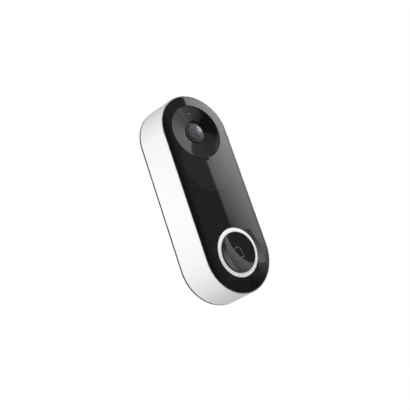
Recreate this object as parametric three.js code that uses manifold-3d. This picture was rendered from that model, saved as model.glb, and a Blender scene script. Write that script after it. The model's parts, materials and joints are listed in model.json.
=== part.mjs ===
// Battery video doorbell on its wall bracket, as an assembly of separate solids.
// Millimetres. The wall is the plane y = 0 and the doorbell faces -Y. Z is up, X is to the right.
import * as THREE from 'three';
import { mergeVertices } from 'three/addons/utils/BufferGeometryUtils.js';
import Module from 'manifold-3d';

const wasm = await Module();
wasm.setup();

// ---------------------------------------------------------------- driving dimensions
const panelRadius = 25;         // half width of the front panel, and the radius of its round ends
const arcCentre = 40.8;         // height of each round end's centre above or below the middle
const bodyDepth = 24.1;         // front of the panel to the back of the rear cover
const draft = 0.133;            // growth of the outline for each mm towards the wall
const rimWidth = 0.65;          // lip of the shell around the panel
const shellWall = 2.5;          // shell's wall thickness
const panelThickness = 1.6;
const rearPlate = 2;            // rear cover's plate thickness
const rearEdge = 1.2;           // rear cover's edge that shows behind the shell
const bracketPlate = 2;         // wall bracket's plate thickness
const hangGap = 0.4;            // between the bracket's plate and the rear cover
const clearance = 0.3;          // between pieces that are assembled loosely
const closeFit = 0.15;          // between pieces that seat on each other
const arcSides = 16;            // facets in each half circle of a long outline
const roundSides = 28;          // facets around a large round piece
const pinSides = 12;            // facets around a small round piece

const dishMargin = 6.3;         // panel left beside the camera's dish
const dishDepth = 2.2;          // dish, from its outer edge to the lens throat
const bezelWall = 1.4;
const lensRadius = 5;           // front glass of the camera
const throatMargin = 1.9;       // bore of the dish, beyond the front glass
const lensProud = 0.8;          // top of the front glass, ahead of the panel
const boardThickness = 1;
const capRadius = 12.9;         // call button
const ringWidth = 2.45;         // illuminated ring around the button
const capProud = 1;             // edge of the button, ahead of the panel
const capHollow = 1.2;          // how far the button's face dips in its middle
const pressTravel = 0.6;        // button's travel
const plungerTravel = 0.3;      // switch plunger's travel
const windowRadius = 19.1;      // smoked sensor window, set into the panel
const windowDrop = 3.6;         // sensor window's centre, below the dish's lowest point
const windowThickness = 0.8;
const boltRadius = 1;           // rear cover screws
const lugRadius = 1.5;          // stems of the bracket's four hooks
const lugSpread = 10;           // hooks left and right of the middle
const liftTravel = 7;           // how far the doorbell slides up to come off its hooks

// ---------------------------------------------------------------- depths and outlines
const backY = -(bracketPlate + hangGap);
const frontY = backY - bodyDepth;
const panelBackY = frontY + panelThickness;
const ledgeY = panelBackY + 0.2;
const rearInnerY = backY - rearPlate;
const rearEdgeY = backY - rearEdge;
const cameraZ = arcCentre;
const buttonZ = -arcCentre;

const outline = (y) => panelRadius + rimWidth + draft * (y - frontY);
const cavity = (y) => outline(y) - shellWall;

const frameOuter = cavity(ledgeY) - clearance;
const frameWall = 1.7;
const frameInner = frameOuter - frameWall;
const frameBackY = ledgeY + 11.1;
const shelfY = ledgeY + 6.7;                      // front of the frame's inner shelf
const shelfThickness = 1.4;
const boardFrontY = shelfY + shelfThickness + 0.2;
const boardBackY = boardFrontY + boardThickness + 0.2;
const boardHalfWidth = frameInner - 1.4;
const boardTopZ = cameraZ - 12.8;
const boardStepZ = buttonZ + 13.8;
const boardBottomZ = buttonZ + 7.8;
const boardTailHalfWidth = 14;
const lipDepth = 1.6;
const lipFrontY = rearInnerY - lipDepth;
const lipOuter = cavity(lipFrontY) - 0.55;
const lipInner = lipOuter - 1.4;
const dishRadius = panelRadius - dishMargin;
const throatRadius = lensRadius + throatMargin;
const ringInner = capRadius + closeFit;
const ringOuter = ringInner + ringWidth;

// ---------------------------------------------------------------- solids from three.js shapes
function signedArea(points) {
  return THREE.ShapeUtils.area(points);
}

function solidFrom(geometry) {
  geometry.deleteAttribute('normal');
  geometry.deleteAttribute('uv');
  const merged = mergeVertices(geometry, 1e-4);
  const corners = merged.index.array;
  const kept = [];
  for (let i = 0; i < corners.length; i += 3) {
    const [a, b, c] = [corners[i], corners[i + 1], corners[i + 2]];
    if (a !== b && b !== c && c !== a) {
      kept.push(a, b, c);
    }
  }
  const vertProperties = new Float32Array(merged.attributes.position.array);
  const triVerts = new Uint32Array(kept);
  return new wasm.Manifold(new wasm.Mesh({ numProp: 3, vertProperties, triVerts }));
}

function geometryFrom(solid) {
  const mesh = solid.getMesh();
  const geometry = new THREE.BufferGeometry();
  geometry.setAttribute('position', new THREE.BufferAttribute(mesh.vertProperties, 3));
  geometry.setIndex(new THREE.BufferAttribute(mesh.triVerts, 1));
  geometry.computeVertexNormals();
  return geometry;
}

function joined(first, ...others) {
  return others.reduce((whole, piece) => whole.add(piece), first);
}

function cut(first, ...others) {
  return others.reduce((whole, piece) => whole.subtract(piece), first);
}

// A shape drawn in X and Z, given thickness between two depths. An arc gets sidesPerArc facets.
function plate(shape, yFront, yBack, sidesPerArc = arcSides) {
  const depth = yBack - yFront;
  const curveSegments = sidesPerArc / 2;
  const geometry = new THREE.ExtrudeGeometry(shape, { depth, bevelEnabled: false, curveSegments });
  geometry.rotateX(Math.PI / 2);
  geometry.translate(0, yBack, 0);
  return geometry;
}

function stadiumShape(radius, centre) {
  const shape = new THREE.Shape();
  shape.absarc(0, centre, radius, 0, Math.PI, false);
  shape.absarc(0, -centre, radius, Math.PI, 2 * Math.PI, false);
  shape.closePath();
  return shape;
}

// A long round-ended plate whose radius may change from its front to its back.
function stadium(radiusFront, yFront, yBack, radiusBack = radiusFront, centre = arcCentre) {
  const geometry = plate(stadiumShape(radiusFront, centre), yFront, yBack);
  const position = geometry.attributes.position;
  for (let i = 0; i < position.count; i += 1) {
    const z = position.getZ(i);
    const along = (position.getY(i) - yFront) / (yBack - yFront);
    const growth = 1 + along * (radiusBack / radiusFront - 1);
    const core = THREE.MathUtils.clamp(z, -centre, centre);
    position.setX(i, position.getX(i) * growth);
    position.setZ(i, core + (z - core) * growth);
  }
  return solidFrom(geometry);
}

function box(x0, x1, y0, y1, z0, z1) {
  const geometry = new THREE.BoxGeometry(x1 - x0, y1 - y0, z1 - z0);
  geometry.translate((x0 + x1) / 2, (y0 + y1) / 2, (z0 + z1) / 2);
  return solidFrom(geometry);
}

// A rectangular block given by its middle in X and Z, its width and height, and its two depths.
function block(x, z, width, height, yFront, yBack) {
  return box(x - width / 2, x + width / 2, yFront, yBack, z - height / 2, z + height / 2);
}

// A block whose four corners, seen from the front, are rounded.
function tablet(x, z, width, height, corner, yFront, yBack) {
  const shape = new THREE.Shape();
  const right = x + width / 2 - corner;
  const left = x - width / 2 + corner;
  const top = z + height / 2 - corner;
  const bottom = z - height / 2 + corner;
  shape.absarc(right, top, corner, 0, Math.PI / 2, false);
  shape.absarc(left, top, corner, Math.PI / 2, Math.PI, false);
  shape.absarc(left, bottom, corner, Math.PI, 1.5 * Math.PI, false);
  shape.absarc(right, bottom, corner, 1.5 * Math.PI, 2 * Math.PI, false);
  shape.closePath();
  return solidFrom(plate(shape, yFront, yBack, 4));
}

// A round bar along Y.
function disc(radius, yFront, yBack, x, z, sides = pinSides) {
  const geometry = new THREE.CylinderGeometry(radius, radius, yBack - yFront, sides);
  geometry.translate(x, (yFront + yBack) / 2, z);
  return solidFrom(geometry);
}

// A body turned about an axis along Y, from [radius, y] pairs.
function turned(profile, x, z, sides = roundSides) {
  const points = profile.map(([radius, y]) => new THREE.Vector2(radius, y));
  if (signedArea(points) < 0) {
    points.reverse();
  }
  const closed = profile[0][0] > 0;
  const geometry = new THREE.LatheGeometry(closed ? [...points, points[0]] : points, sides);
  geometry.translate(x, 0, z);
  return solidFrom(geometry);
}

function tube(outer, inner, yFront, yBack, x, z, sides = roundSides) {
  return turned([[inner, yFront], [outer, yFront], [outer, yBack], [inner, yBack]], x, z, sides);
}

// A flat ribbon cable: a bent line in Y and Z, with a thickness, extruded along X.
function ribbon(path, thickness, x, width) {
  const line = path.map(([y, z]) => new THREE.Vector2(y, z));
  const side = (sign) => line.map((point, i) => {
    const before = line[Math.max(i - 1, 0)];
    const after = line[Math.min(i + 1, line.length - 1)];
    const direction = after.clone().sub(before).normalize();
    const normal = new THREE.Vector2(-direction.y, direction.x);
    return point.clone().addScaledVector(normal, sign * thickness / 2);
  });
  const shape = new THREE.Shape([...side(1), ...side(-1).reverse()]);
  const geometry = new THREE.ExtrudeGeometry(shape, { depth: width, bevelEnabled: false });
  const yAxis = new THREE.Vector3(0, 1, 0);
  const zAxis = new THREE.Vector3(0, 0, 1);
  const xAxis = new THREE.Vector3(1, 0, 0);
  geometry.applyMatrix4(new THREE.Matrix4().makeBasis(yAxis, zAxis, xAxis));
  geometry.translate(x - width / 2, 0, 0);
  return solidFrom(geometry);
}

// A round wire through [x, y, z] points.
function wire(points, radius, steps = 14) {
  const extrudePath = new THREE.CatmullRomCurve3(points.map((point) => new THREE.Vector3(...point)));
  const section = new THREE.Shape();
  section.absarc(0, 0, radius, 0, 2 * Math.PI, false);
  const settings = { extrudePath, steps, bevelEnabled: false, curveSegments: 4 };
  return solidFrom(new THREE.ExtrudeGeometry(section, settings));
}

// ---------------------------------------------------------------- finishes
const finish = (color, roughness, metalness = 0) => ({ color, roughness, metalness });
const whiteShell = finish(0xf1f2f2, 0.45);
const glossBlack = finish(0x0c0c0d, 0.08);
const satinBlack = finish(0x1b1b1c, 0.4);
const smoked = finish(0x17171a, 0.1);
const glass = finish(0x2b2a33, 0.04);
const ringWhite = finish(0xf4f4f2, 0.3);
const rubber = finish(0x1d1d1d, 0.8);
const greyPlastic = finish(0x5b5d60, 0.6);
const boardGreen = finish(0x1f5a37, 0.5);
const chipBlack = finish(0x202124, 0.45);
const tinPlate = finish(0xb9bcc0, 0.3, 1);
const steel = finish(0xa8abaf, 0.35, 1);
const cellWrap = finish(0x9fa5ad, 0.35, 0.6);
const foam = finish(0x3a3a3c, 0.95);
const flexAmber = finish(0xb5702a, 0.4);
const redWire = finish(0xb02020, 0.5);
const blackWire = finish(0x141414, 0.5);
const ledWhite = finish(0xf5f1d6, 0.3);
const fleece = finish(0x2a2a2b, 0.9);

const doorbell = new THREE.Group();
doorbell.name = 'video_doorbell';

function add(name, solid, look) {
  const mesh = new THREE.Mesh(geometryFrom(solid), new THREE.MeshStandardMaterial(look));
  mesh.name = name;
  doorbell.add(mesh);
}

// ---------------------------------------------------------------- shell and front panel
const speaker = {
  z: -5,
  length: 26,
  depth: 5.6,                                     // along X
  frontX: cavity(frameBackY) - 1.3,
  y0: frameBackY + 0.4,
  y1: lipFrontY - 0.2,
};
const grille = { slots: 7, pitch: 2.8, height: 1.1 };
const slotAt = (i) => speaker.z + (i - (grille.slots - 1) / 2) * grille.pitch;

function outerHousing() {
  const yFront = frontY + 0.1;
  const yBack = rearEdgeY - 0.1;
  const body = stadium(outline(yFront), yFront, yBack, outline(yBack));
  const hollow = stadium(cavity(ledgeY - 1), ledgeY - 1, yBack + 1, cavity(yBack + 1));
  const rebate = stadium(panelRadius + 0.1, yFront - 1, ledgeY);
  const slots = [];
  for (let i = 0; i < grille.slots; i += 1) {
    const margin = 0.13 * (speaker.y1 - speaker.y0);
    const z = slotAt(i);
    const x = cavity(speaker.y0) - 1;
    slots.push(box(x, x + 8, speaker.y0 + margin, speaker.y1 - margin,
      z - grille.height / 2, z + grille.height / 2));
  }
  return cut(body, hollow, rebate, ...slots);
}

const windowZ = cameraZ - dishRadius - windowDrop;
const windowBackY = frontY + windowThickness;
const motion = { z: windowZ - 7.5, lensRadius: 7.2, canRadius: 4.1, canHeight: 4.4 };
const mic = { x: 0.8, slotZ: cameraZ - dishRadius - 0.8, width: 2.2, height: 0.6 };
const micZ = mic.slotZ - 0.75;
const gasketRadius = 1.5;

function micSlot() {
  return tablet(mic.x, mic.slotZ, mic.width, mic.height, mic.height / 2 - 0.01, frontY - 1, panelBackY + 1);
}

function frontPanel() {
  const body = stadium(panelRadius, frontY, panelBackY);
  const dishHole = disc(dishRadius + 0.1, frontY - 1, panelBackY + 1, 0, cameraZ, roundSides);
  const ringHole = disc(ringOuter + 0.1, frontY - 1, panelBackY + 1, 0, buttonZ, roundSides);
  const windowPocket = disc(windowRadius + 0.08, frontY - 1, windowBackY + 0.1, 0, windowZ, roundSides);
  const lensHole = disc(motion.lensRadius + closeFit, frontY, panelBackY + 1, 0, motion.z, roundSides);
  return cut(body, dishHole, ringHole, windowPocket, lensHole, micSlot());
}

function sensorWindow() {
  const body = disc(windowRadius, frontY, windowBackY, 0, windowZ, roundSides);
  const dishHole = disc(dishRadius + 0.1, frontY - 1, panelBackY, 0, cameraZ, roundSides);
  return cut(body, dishHole, micSlot());
}

add('outer_housing', outerHousing(), whiteShell);
add('front_panel', frontPanel(), glossBlack);
add('sensor_window', sensorWindow(), smoked);

// ---------------------------------------------------------------- camera
const dishY = (radius) => frontY + dishDepth * (dishRadius - radius) / (dishRadius - throatRadius);
const throatY = frontY + dishDepth;
const bezelTubeY = throatY + 3.7;
const flangeRadius = dishRadius + 0.8;
const nightBoardY = throatY + 2.2;
const nightInner = throatRadius + 1.8;
const nightOuter = dishRadius - 1.4;
const statusLed = { x: -0.3, z: cameraZ + dishRadius - 5.5 };
const daylight = { x: -1.7, z: cameraZ + dishRadius - 7.1 };
const pipeRadius = 0.4;
const barrelRadius = lensRadius + 0.4;
const barrelFrontY = frontY + 0.6;
const barrelBackY = barrelFrontY + 9.6;
const holderBackY = barrelBackY + 1.7;
const sensorBoardY = holderBackY + 0.2;

function cameraBezel() {
  const profile = [
    [throatRadius, throatY],
    [dishRadius, frontY],
    [dishRadius, panelBackY + 0.2],
    [flangeRadius, panelBackY + 0.2],
    [flangeRadius, panelBackY + 1],
    [dishRadius - 1.7, panelBackY + 1],
    [throatRadius + bezelWall, throatY + 1.5],
    [throatRadius + bezelWall, bezelTubeY],
    [throatRadius, bezelTubeY],
  ];
  const body = turned(profile, 0, cameraZ);
  const bore = pipeRadius + 0.1;
  const ledBore = disc(bore, frontY - 1, panelBackY + 3, statusLed.x, statusLed.z, 10);
  const lightBore = disc(bore, frontY - 1, panelBackY + 3, daylight.x, daylight.z, 10);
  const micNotch = disc(gasketRadius + clearance, panelBackY + 0.05, panelBackY + 3, mic.x, micZ);
  return cut(body, ledBore, lightBore, micNotch);
}

function lensBarrel() {
  const seatY = barrelFrontY + 1.1;
  const stepY = barrelFrontY + 5.4;
  const profile = [
    [lensRadius + 0.1, barrelFrontY],
    [barrelRadius, barrelFrontY],
    [barrelRadius, barrelBackY],
    [lensRadius - 1.4, barrelBackY],
    [lensRadius - 1.4, stepY],
    [lensRadius - 0.4, stepY],
    [lensRadius - 0.4, seatY],
    [lensRadius + 0.1, seatY],
  ];
  return turned(profile, 0, cameraZ);
}

// A lens: flat or domed on each face, with a cylindrical edge.
function lensElement(radius, yFront, yBack, domeFront, domeBack, x, z) {
  const steps = 3;
  const profile = [];
  for (let i = 0; i <= steps; i += 1) {
    const r = radius * i / steps;
    profile.push([r, yFront - domeFront * (1 - (r / radius) ** 2)]);
  }
  for (let i = steps; i >= 0; i -= 1) {
    const r = radius * i / steps;
    profile.push([r, yBack + domeBack * (1 - (r / radius) ** 2)]);
  }
  return turned(profile, x, z, 24);
}

function lensHolder() {
  const half = 8;
  const yFront = barrelBackY - 3.2;
  const body = block(0, cameraZ, 2 * half, 2 * half, yFront, holderBackY);
  const bore = disc(barrelRadius + 0.2, yFront - 1, barrelBackY + 0.2, 0, cameraZ, 24);
  const chamber = block(0, cameraZ, 9, 9, barrelBackY + 0.1, holderBackY + 1);
  return cut(body, bore, chamber);
}

// Places evenly around a centre on the middle line, starting half way between the axes.
function around(count, radius, centreZ) {
  return Array.from({ length: count }, (_, i) => {
    const angle = Math.PI / 4 + i * 2 * Math.PI / count;
    return [radius * Math.cos(angle), centreZ + radius * Math.sin(angle)];
  });
}

// An annular board with its infrared LEDs soldered to it.
function nightBoard() {
  const board = tube(nightOuter, nightInner, nightBoardY, nightBoardY + 0.8, 0, cameraZ);
  const led = ([x, z]) => block(x, z, 2.6, 2.6, nightBoardY - 0.75, nightBoardY + 0.2);
  return joined(board, ...around(4, (nightOuter + nightInner) / 2, cameraZ).map(led));
}

add('camera_bezel', cameraBezel(), satinBlack);
add('lens_trim_ring', tube(throatRadius - closeFit, barrelRadius + 0.2, throatY - 0.8,
  throatY + 2.3, 0, cameraZ), glossBlack);
add('lens_barrel', lensBarrel(), satinBlack);
const domeY = barrelFrontY - 0.1;
add('lens_cover', lensElement(lensRadius, domeY, barrelFrontY + 1, domeY - frontY + lensProud, 0,
  0, cameraZ), glass);
add('lens_element_front', lensElement(lensRadius - 0.6, barrelFrontY + 2.8, barrelFrontY + 3.8, 0.6, 0.5,
  0, cameraZ), glass);
add('lens_element_rear', lensElement(lensRadius - 1.6, barrelFrontY + 7, barrelFrontY + 7.8, 0.4, 0.5,
  0, cameraZ), glass);
add('lens_holder', lensHolder(), satinBlack);
add('ir_cut_filter', block(0, cameraZ, 6.6, 6.6, barrelBackY + 0.4, barrelBackY + 0.7), smoked);
add('image_sensor', block(0, cameraZ, 7.4, 6.4, holderBackY - 0.7, holderBackY + 0.1), chipBlack);
add('sensor_board', block(0, cameraZ, 18, 18, sensorBoardY, sensorBoardY + boardThickness), boardGreen);
add('night_board', nightBoard(), boardGreen);

function lightPipe(place) {
  const radius = Math.hypot(place.x, place.z - cameraZ);
  return disc(pipeRadius, dishY(radius) + 0.15, nightBoardY - 0.65, place.x, place.z, 10);
}

add('status_light_pipe', lightPipe(statusLed), ringWhite);
add('daylight_pipe', lightPipe(daylight), ringWhite);
add('status_led', block(statusLed.x, statusLed.z, 1, 0.6, nightBoardY - 0.55, nightBoardY - 0.05),
  ledWhite);
add('daylight_sensor', block(daylight.x, daylight.z, 1.2, 0.8, nightBoardY - 0.55, nightBoardY - 0.05),
  chipBlack);

// ---------------------------------------------------------------- inner frame and its screws
const bossRadius = 2.9;
const bossX = frameInner - 2.8;
const bossPlaces = [
  [bossX, cameraZ - 6.8],
  [-bossX, cameraZ - 6.8],
  [bossX, buttonZ + 8.8],
  [-bossX, buttonZ + 8.8],
];
const bossBackY = rearInnerY - 0.2;
const screwLength = 7.2;
const chargeZ = buttonZ - 16.7;
const port = { x: 6, width: 9, height: 3.3, y0: rearInnerY - 6.2, y1: rearInnerY - 0.3 };
const chargeBoard = { y: port.y0 - boardThickness - 0.1, width: 25, height: 7.6 };

function innerFrame() {
  const ring = cut(
    stadium(frameOuter, ledgeY + 0.1, frameBackY),
    stadium(frameInner, ledgeY - 1, frameBackY + 1),
  );
  const shelf = cut(
    stadium(frameInner + 0.5, shelfY, shelfY + shelfThickness),
    stadium(frameInner - 3.9, shelfY - 1, shelfY + shelfThickness + 1),
  );
  const bosses = bossPlaces.map(([x, z]) => disc(bossRadius, shelfY, bossBackY, x, z, 20));
  const depthOfBore = screwLength + 1;
  const relief = block(0, chargeZ, chargeBoard.width + 1, chargeBoard.height + 12,
    chargeBoard.y - 1, backY);
  const bores = bossPlaces.map(([x, z]) => disc(boltRadius + 0.1, bossBackY - depthOfBore, backY, x, z));
  return cut(joined(ring, shelf, ...bosses), ...bores, relief);
}

function coverScrew(x, z) {
  const headY = backY - 0.2;
  const headRadius = 1.9;
  const headHeight = 1.1;
  const profile = [
    [0, headY],
    [headRadius, headY],
    [boltRadius, headY - headHeight],
    [boltRadius, headY - headHeight - screwLength],
    [0, headY - headHeight - screwLength - 0.6],
  ];
  const slotY = headY - 0.5;
  const across = block(x, z, 2, 0.5, slotY, headY + 1);
  const down = block(x, z, 0.5, 2, slotY, headY + 1);
  return cut(turned(profile, x, z, pinSides), across, down);
}

add('inner_frame', innerFrame(), greyPlastic);
bossPlaces.forEach(([x, z], i) => add(`cover_screw_${i + 1}`, coverScrew(x, z), steel));

// ---------------------------------------------------------------- main board
// The board with its processor, memory and power coil soldered to it.
function mainBoard() {
  const shape = new THREE.Shape([
    new THREE.Vector2(-boardHalfWidth, boardTopZ),
    new THREE.Vector2(-boardHalfWidth, boardStepZ),
    new THREE.Vector2(-boardTailHalfWidth, boardStepZ),
    new THREE.Vector2(-boardTailHalfWidth, boardBottomZ),
    new THREE.Vector2(boardTailHalfWidth, boardBottomZ),
    new THREE.Vector2(boardTailHalfWidth, boardStepZ),
    new THREE.Vector2(boardHalfWidth, boardStepZ),
    new THREE.Vector2(boardHalfWidth, boardTopZ),
  ]);
  const chips = [
    block(shield.x, shield.z, 10, 10, boardFrontY - 1.2, boardFrontY + 0.2),
    block(shield.x + 13.5, shield.z, 7, 10, boardFrontY - 1, boardFrontY + 0.2),
    tablet(11, motion.z, 6, 6, 1.2, boardFrontY - 2.6, boardFrontY + 0.2),
  ];
  return joined(solidFrom(plate(shape, boardFrontY, boardBackY)), ...chips);
}

const onBoardY = boardFrontY - 0.1;
const wifi = { x: -10.8, z: motion.z, width: 11.5, height: 15, tall: 2.2 };
const shield = { x: -1, z: -11, width: 16, height: 14, tall: 2.2 };
const battery = {
  x0: -(frameInner - 1.6),
  x1: speaker.frontX - speaker.depth - 0.8,
  z0: buttonZ + 16.8,
  z1: cameraZ - 12,
  y0: boardBackY + 1.3,
  y1: rearInnerY - 0.8,
};
const socket = { x: -11.3, z: boardTopZ - 3.5, width: 6, height: 4.4, tall: 3 };

function hollowBox(x, z, width, height, yFront, yBack, skin) {
  const inside = block(x, z, width - 2 * skin, height - 2 * skin, yFront + skin, yBack + 1);
  return cut(block(x, z, width, height, yFront, yBack), inside);
}

function motionSensor() {
  const profile = [
    [0, onBoardY - motion.canHeight],
    [motion.canRadius, onBoardY - motion.canHeight],
    [motion.canRadius, onBoardY - 0.7],
    [motion.canRadius + 0.5, onBoardY - 0.7],
    [motion.canRadius + 0.5, onBoardY],
    [0, onBoardY],
  ];
  const face = block(0, motion.z, 4, 3, onBoardY - motion.canHeight - 1, onBoardY - motion.canHeight + 0.3);
  return cut(turned(profile, 0, motion.z, 24), face);
}

add('main_board', mainBoard(), boardGreen);
add('processor_shield', hollowBox(shield.x, shield.z, shield.width, shield.height,
  onBoardY - shield.tall, onBoardY, 0.4), tinPlate);
add('wifi_module', block(wifi.x, wifi.z, wifi.width, wifi.height, onBoardY - wifi.tall, onBoardY),
  tinPlate);
add('motion_sensor', motionSensor(), tinPlate);
add('motion_lens', disc(motion.lensRadius, windowBackY + 0.25, panelBackY + 0.6, 0, motion.z, 32), fleece);
add('microphone', block(mic.x, micZ, 3.6, 2.8, onBoardY - 1.1, onBoardY), tinPlate);
add('mic_gasket', tube(gasketRadius, 1.05, panelBackY + 0.15, onBoardY - 1.25, mic.x, micZ, 16), rubber);
add('battery_socket', block(socket.x, socket.z, socket.width, socket.height,
  onBoardY - socket.tall, onBoardY), ringWhite);

// ---------------------------------------------------------------- battery
const cellX = (battery.x0 + battery.x1) / 2;
const cellZ = (battery.z0 + battery.z1) / 2;
add('battery_cell', tablet(cellX, cellZ, battery.x1 - battery.x0, battery.z1 - battery.z0, 2.5,
  battery.y0, battery.y1), cellWrap);
add('battery_pad', block(cellX, cellZ, battery.x1 - battery.x0 - 6, battery.z1 - battery.z0 - 6,
  battery.y1 + 0.1, rearInnerY - 0.1), foam);

// Each lead leaves the top of the cell, rises over the board's top edge and ends in the socket.
function batteryLead(x) {
  const exitY = battery.y0 + 1.1;
  const overZ = boardTopZ + 4.6;
  const aheadY = onBoardY - socket.tall / 2;
  return wire([
    [x, exitY, battery.z1 + 0.3],
    [x, exitY - 0.2, battery.z1 + 2.2],
    [x, boardBackY + 0.8, overZ],
    [x, boardFrontY - 0.6, overZ],
    [x, aheadY - 0.2, boardTopZ + 2.4],
    [x, aheadY, socket.z + socket.height / 2 + 0.3],
  ], 0.6);
}

add('battery_lead_red', batteryLead(socket.x - 0.9), redWire);
add('battery_lead_black', batteryLead(socket.x + 0.9), blackWire);

// ---------------------------------------------------------------- ribbons and antenna
const ribbonThickness = 0.25;
const sensorRibbonY = sensorBoardY + boardThickness + 0.3;
const boardRibbonY = boardBackY + 0.35;
add('camera_ribbon', ribbon([
  [sensorRibbonY, cameraZ - 4],
  [sensorRibbonY, cameraZ - 9.6],
  [boardRibbonY, boardTopZ - 0.6],
  [boardRibbonY, boardTopZ - 5],
], ribbonThickness, 0, 8), flexAmber);

const antennaZ = cameraZ + frameInner - 3.2;
const antennaY = panelBackY + 1.2;
const antennaDepth = 5;
add('antenna', box(-8, 8, antennaY, antennaY + antennaDepth, antennaZ, antennaZ + 0.4), boardGreen);
const coaxX = -(frameInner - 6.2);
const coaxY = shelfY - 1.6;
add('antenna_coax', wire([
  [-6, antennaY + antennaDepth - 0.8, antennaZ - 0.9],
  [-9.4, coaxY, antennaZ - 3.4],
  [coaxX, coaxY, cameraZ + 6],
  [coaxX, coaxY, cameraZ - 6],
  [coaxX, coaxY, boardTopZ + 1],
  [coaxX, coaxY, socket.z - 5],
  [wifi.x - 1, onBoardY - wifi.tall - 0.9, wifi.z + 4],
], 0.55, 22), blackWire);

// ---------------------------------------------------------------- speaker
const speakerBackX = speaker.frontX - speaker.depth;
const speakerZ0 = speaker.z - speaker.length / 2;
const speakerZ1 = speaker.z + speaker.length / 2;

function speakerFrame() {
  const body = box(speakerBackX, speaker.frontX, speaker.y0, speaker.y1, speakerZ0, speakerZ1);
  const skin = 0.11 * (speaker.y1 - speaker.y0);
  const inside = box(speakerBackX + 1, speaker.frontX + 1, speaker.y0 + skin, speaker.y1 - skin,
    speakerZ0 + 1, speakerZ1 - 1);
  return cut(body, inside);
}

// A flat piece of the speaker, set in from its long sides by a share of their distance.
function speakerPart(x0, x1, share, endInset) {
  const inset = share * (speaker.y1 - speaker.y0);
  return box(x0, x1, speaker.y0 + inset, speaker.y1 - inset, speakerZ0 + endInset, speakerZ1 - endInset);
}

add('speaker_frame', speakerFrame(), chipBlack);
add('speaker_magnet', speakerPart(speakerBackX + 1.15, speakerBackX + 3, 0.26, 2.1), steel);
add('speaker_cone', speakerPart(speaker.frontX - 1.2, speaker.frontX - 0.8, 0.15, 1.3), greyPlastic);
add('speaker_mesh', speakerPart(speaker.frontX + 0.1, speaker.frontX + 0.4, 0.03, 0.5), fleece);

// ---------------------------------------------------------------- call button
const ringBackY = panelBackY + 1.3;
const capFlangeY = ringBackY + 0.2;
const capBackY = capFlangeY + 0.8;
const buttonBoardY = capBackY + 2.2;
const capPlateY = frontY + 0.9;
const switchTopY = buttonBoardY - 2.5;
const plungerY = switchTopY - 0.8;
const postY = plungerY - (pressTravel - plungerTravel) - 0.05;

function lightRing() {
  const profile = [
    [ringInner, frontY - 0.05],
    [ringOuter, frontY - 0.05],
    [ringOuter, panelBackY + 0.2],
    [ringOuter + 1.2, panelBackY + 0.2],
    [ringOuter + 1.2, ringBackY],
    [ringInner, ringBackY],
  ];
  return turned(profile, 0, buttonZ);
}

// The cap's face dips towards its middle; its skirt carries a flange that holds it behind the ring.
function buttonCap() {
  const steps = 4;
  const profile = [];
  for (let i = 0; i <= steps; i += 1) {
    const r = (capRadius - 0.4) * i / steps;
    profile.push([r, frontY - capProud + capHollow * (1 - (r / capRadius) ** 2)]);
  }
  profile.push([capRadius, frontY - capProud + 0.4]);
  profile.push([capRadius, capFlangeY]);
  profile.push([ringInner + 1.3, capFlangeY]);
  profile.push([ringInner + 1.3, capBackY]);
  profile.push([capRadius - 1.2, capBackY]);
  profile.push([capRadius - 1.2, capPlateY]);
  profile.push([2, capPlateY]);
  profile.push([2, postY]);
  profile.push([0, postY]);
  return turned(profile, 0, buttonZ);
}

function buttonPad() {
  const profile = [
    [6.2, buttonBoardY - 0.2],
    [6.2, buttonBoardY - 0.9],
    [capRadius - 2.4, buttonBoardY - 0.9],
    [capRadius - 1.4, capBackY + 0.2],
    [capRadius, capBackY + 0.2],
    [capRadius, capBackY + 0.9],
    [capRadius - 1, buttonBoardY - 0.2],
  ];
  return turned(profile, 0, buttonZ);
}

function tactSwitch() {
  const body = block(0, buttonZ, 6.2, 6.2, switchTopY, buttonBoardY - 0.1);
  const well = disc(1.95, switchTopY - 1, switchTopY + plungerTravel + 0.6, 0, buttonZ);
  return cut(body, well);
}

// A round board with the ring's LEDs soldered to it.
function buttonBoard() {
  const board = disc(ringOuter + 1.2, buttonBoardY, buttonBoardY + boardThickness, 0, buttonZ, 32);
  const led = ([x, z]) => block(x, z, 1.6, 1.6, buttonBoardY - 0.6, buttonBoardY + 0.2);
  return joined(board, ...around(6, ringOuter - 0.8, buttonZ).map(led));
}

add('light_ring', lightRing(), ringWhite);
add('button_cap', buttonCap(), glossBlack);
add('button_pad', buttonPad(), rubber);
add('button_board', buttonBoard(), boardGreen);
add('tact_switch', tactSwitch(), chipBlack);
add('switch_plunger', disc(1.7, plungerY, switchTopY + 0.2, 0, buttonZ), ringWhite);

// ---------------------------------------------------------------- bracket hooks and their keyholes
const lugPlaces = [
  [-lugSpread, cameraZ + 1.2],
  [lugSpread, cameraZ + 1.2],
  [-lugSpread, buttonZ + 4.8],
  [lugSpread, buttonZ + 4.8],
];
const hookRadius = lugRadius + 1.5;
const hookThickness = 1.5;
const slotPlate = rearPlate - 0.4;                // rear cover left behind each hook
const hookBackY = backY - slotPlate - clearance;
const pocketY = hookBackY - hookThickness - 1;
const pocketHalf = hookRadius + 0.7;
const pocketWall = 1;

function keyholeBoss([x, z]) {
  const half = pocketHalf + pocketWall;
  return box(x - half, x + half, pocketY - pocketWall, rearInnerY + 0.5, z - liftTravel - half, z + half);
}

function keyholeHollow([x, z]) {
  const pocket = box(x - pocketHalf, x + pocketHalf, pocketY, backY - slotPlate,
    z - liftTravel - pocketHalf, z + pocketHalf);
  const slotHalf = lugRadius + clearance;
  const slot = box(x - slotHalf, x + slotHalf, rearInnerY, backY + 1, z - liftTravel, z);
  const slotEnd = disc(slotHalf, rearInnerY, backY + 1, x, z);
  const entry = disc(hookRadius + 0.5, rearInnerY, backY + 1, x, z - liftTravel);
  return joined(pocket, slot, slotEnd, entry);
}

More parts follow.
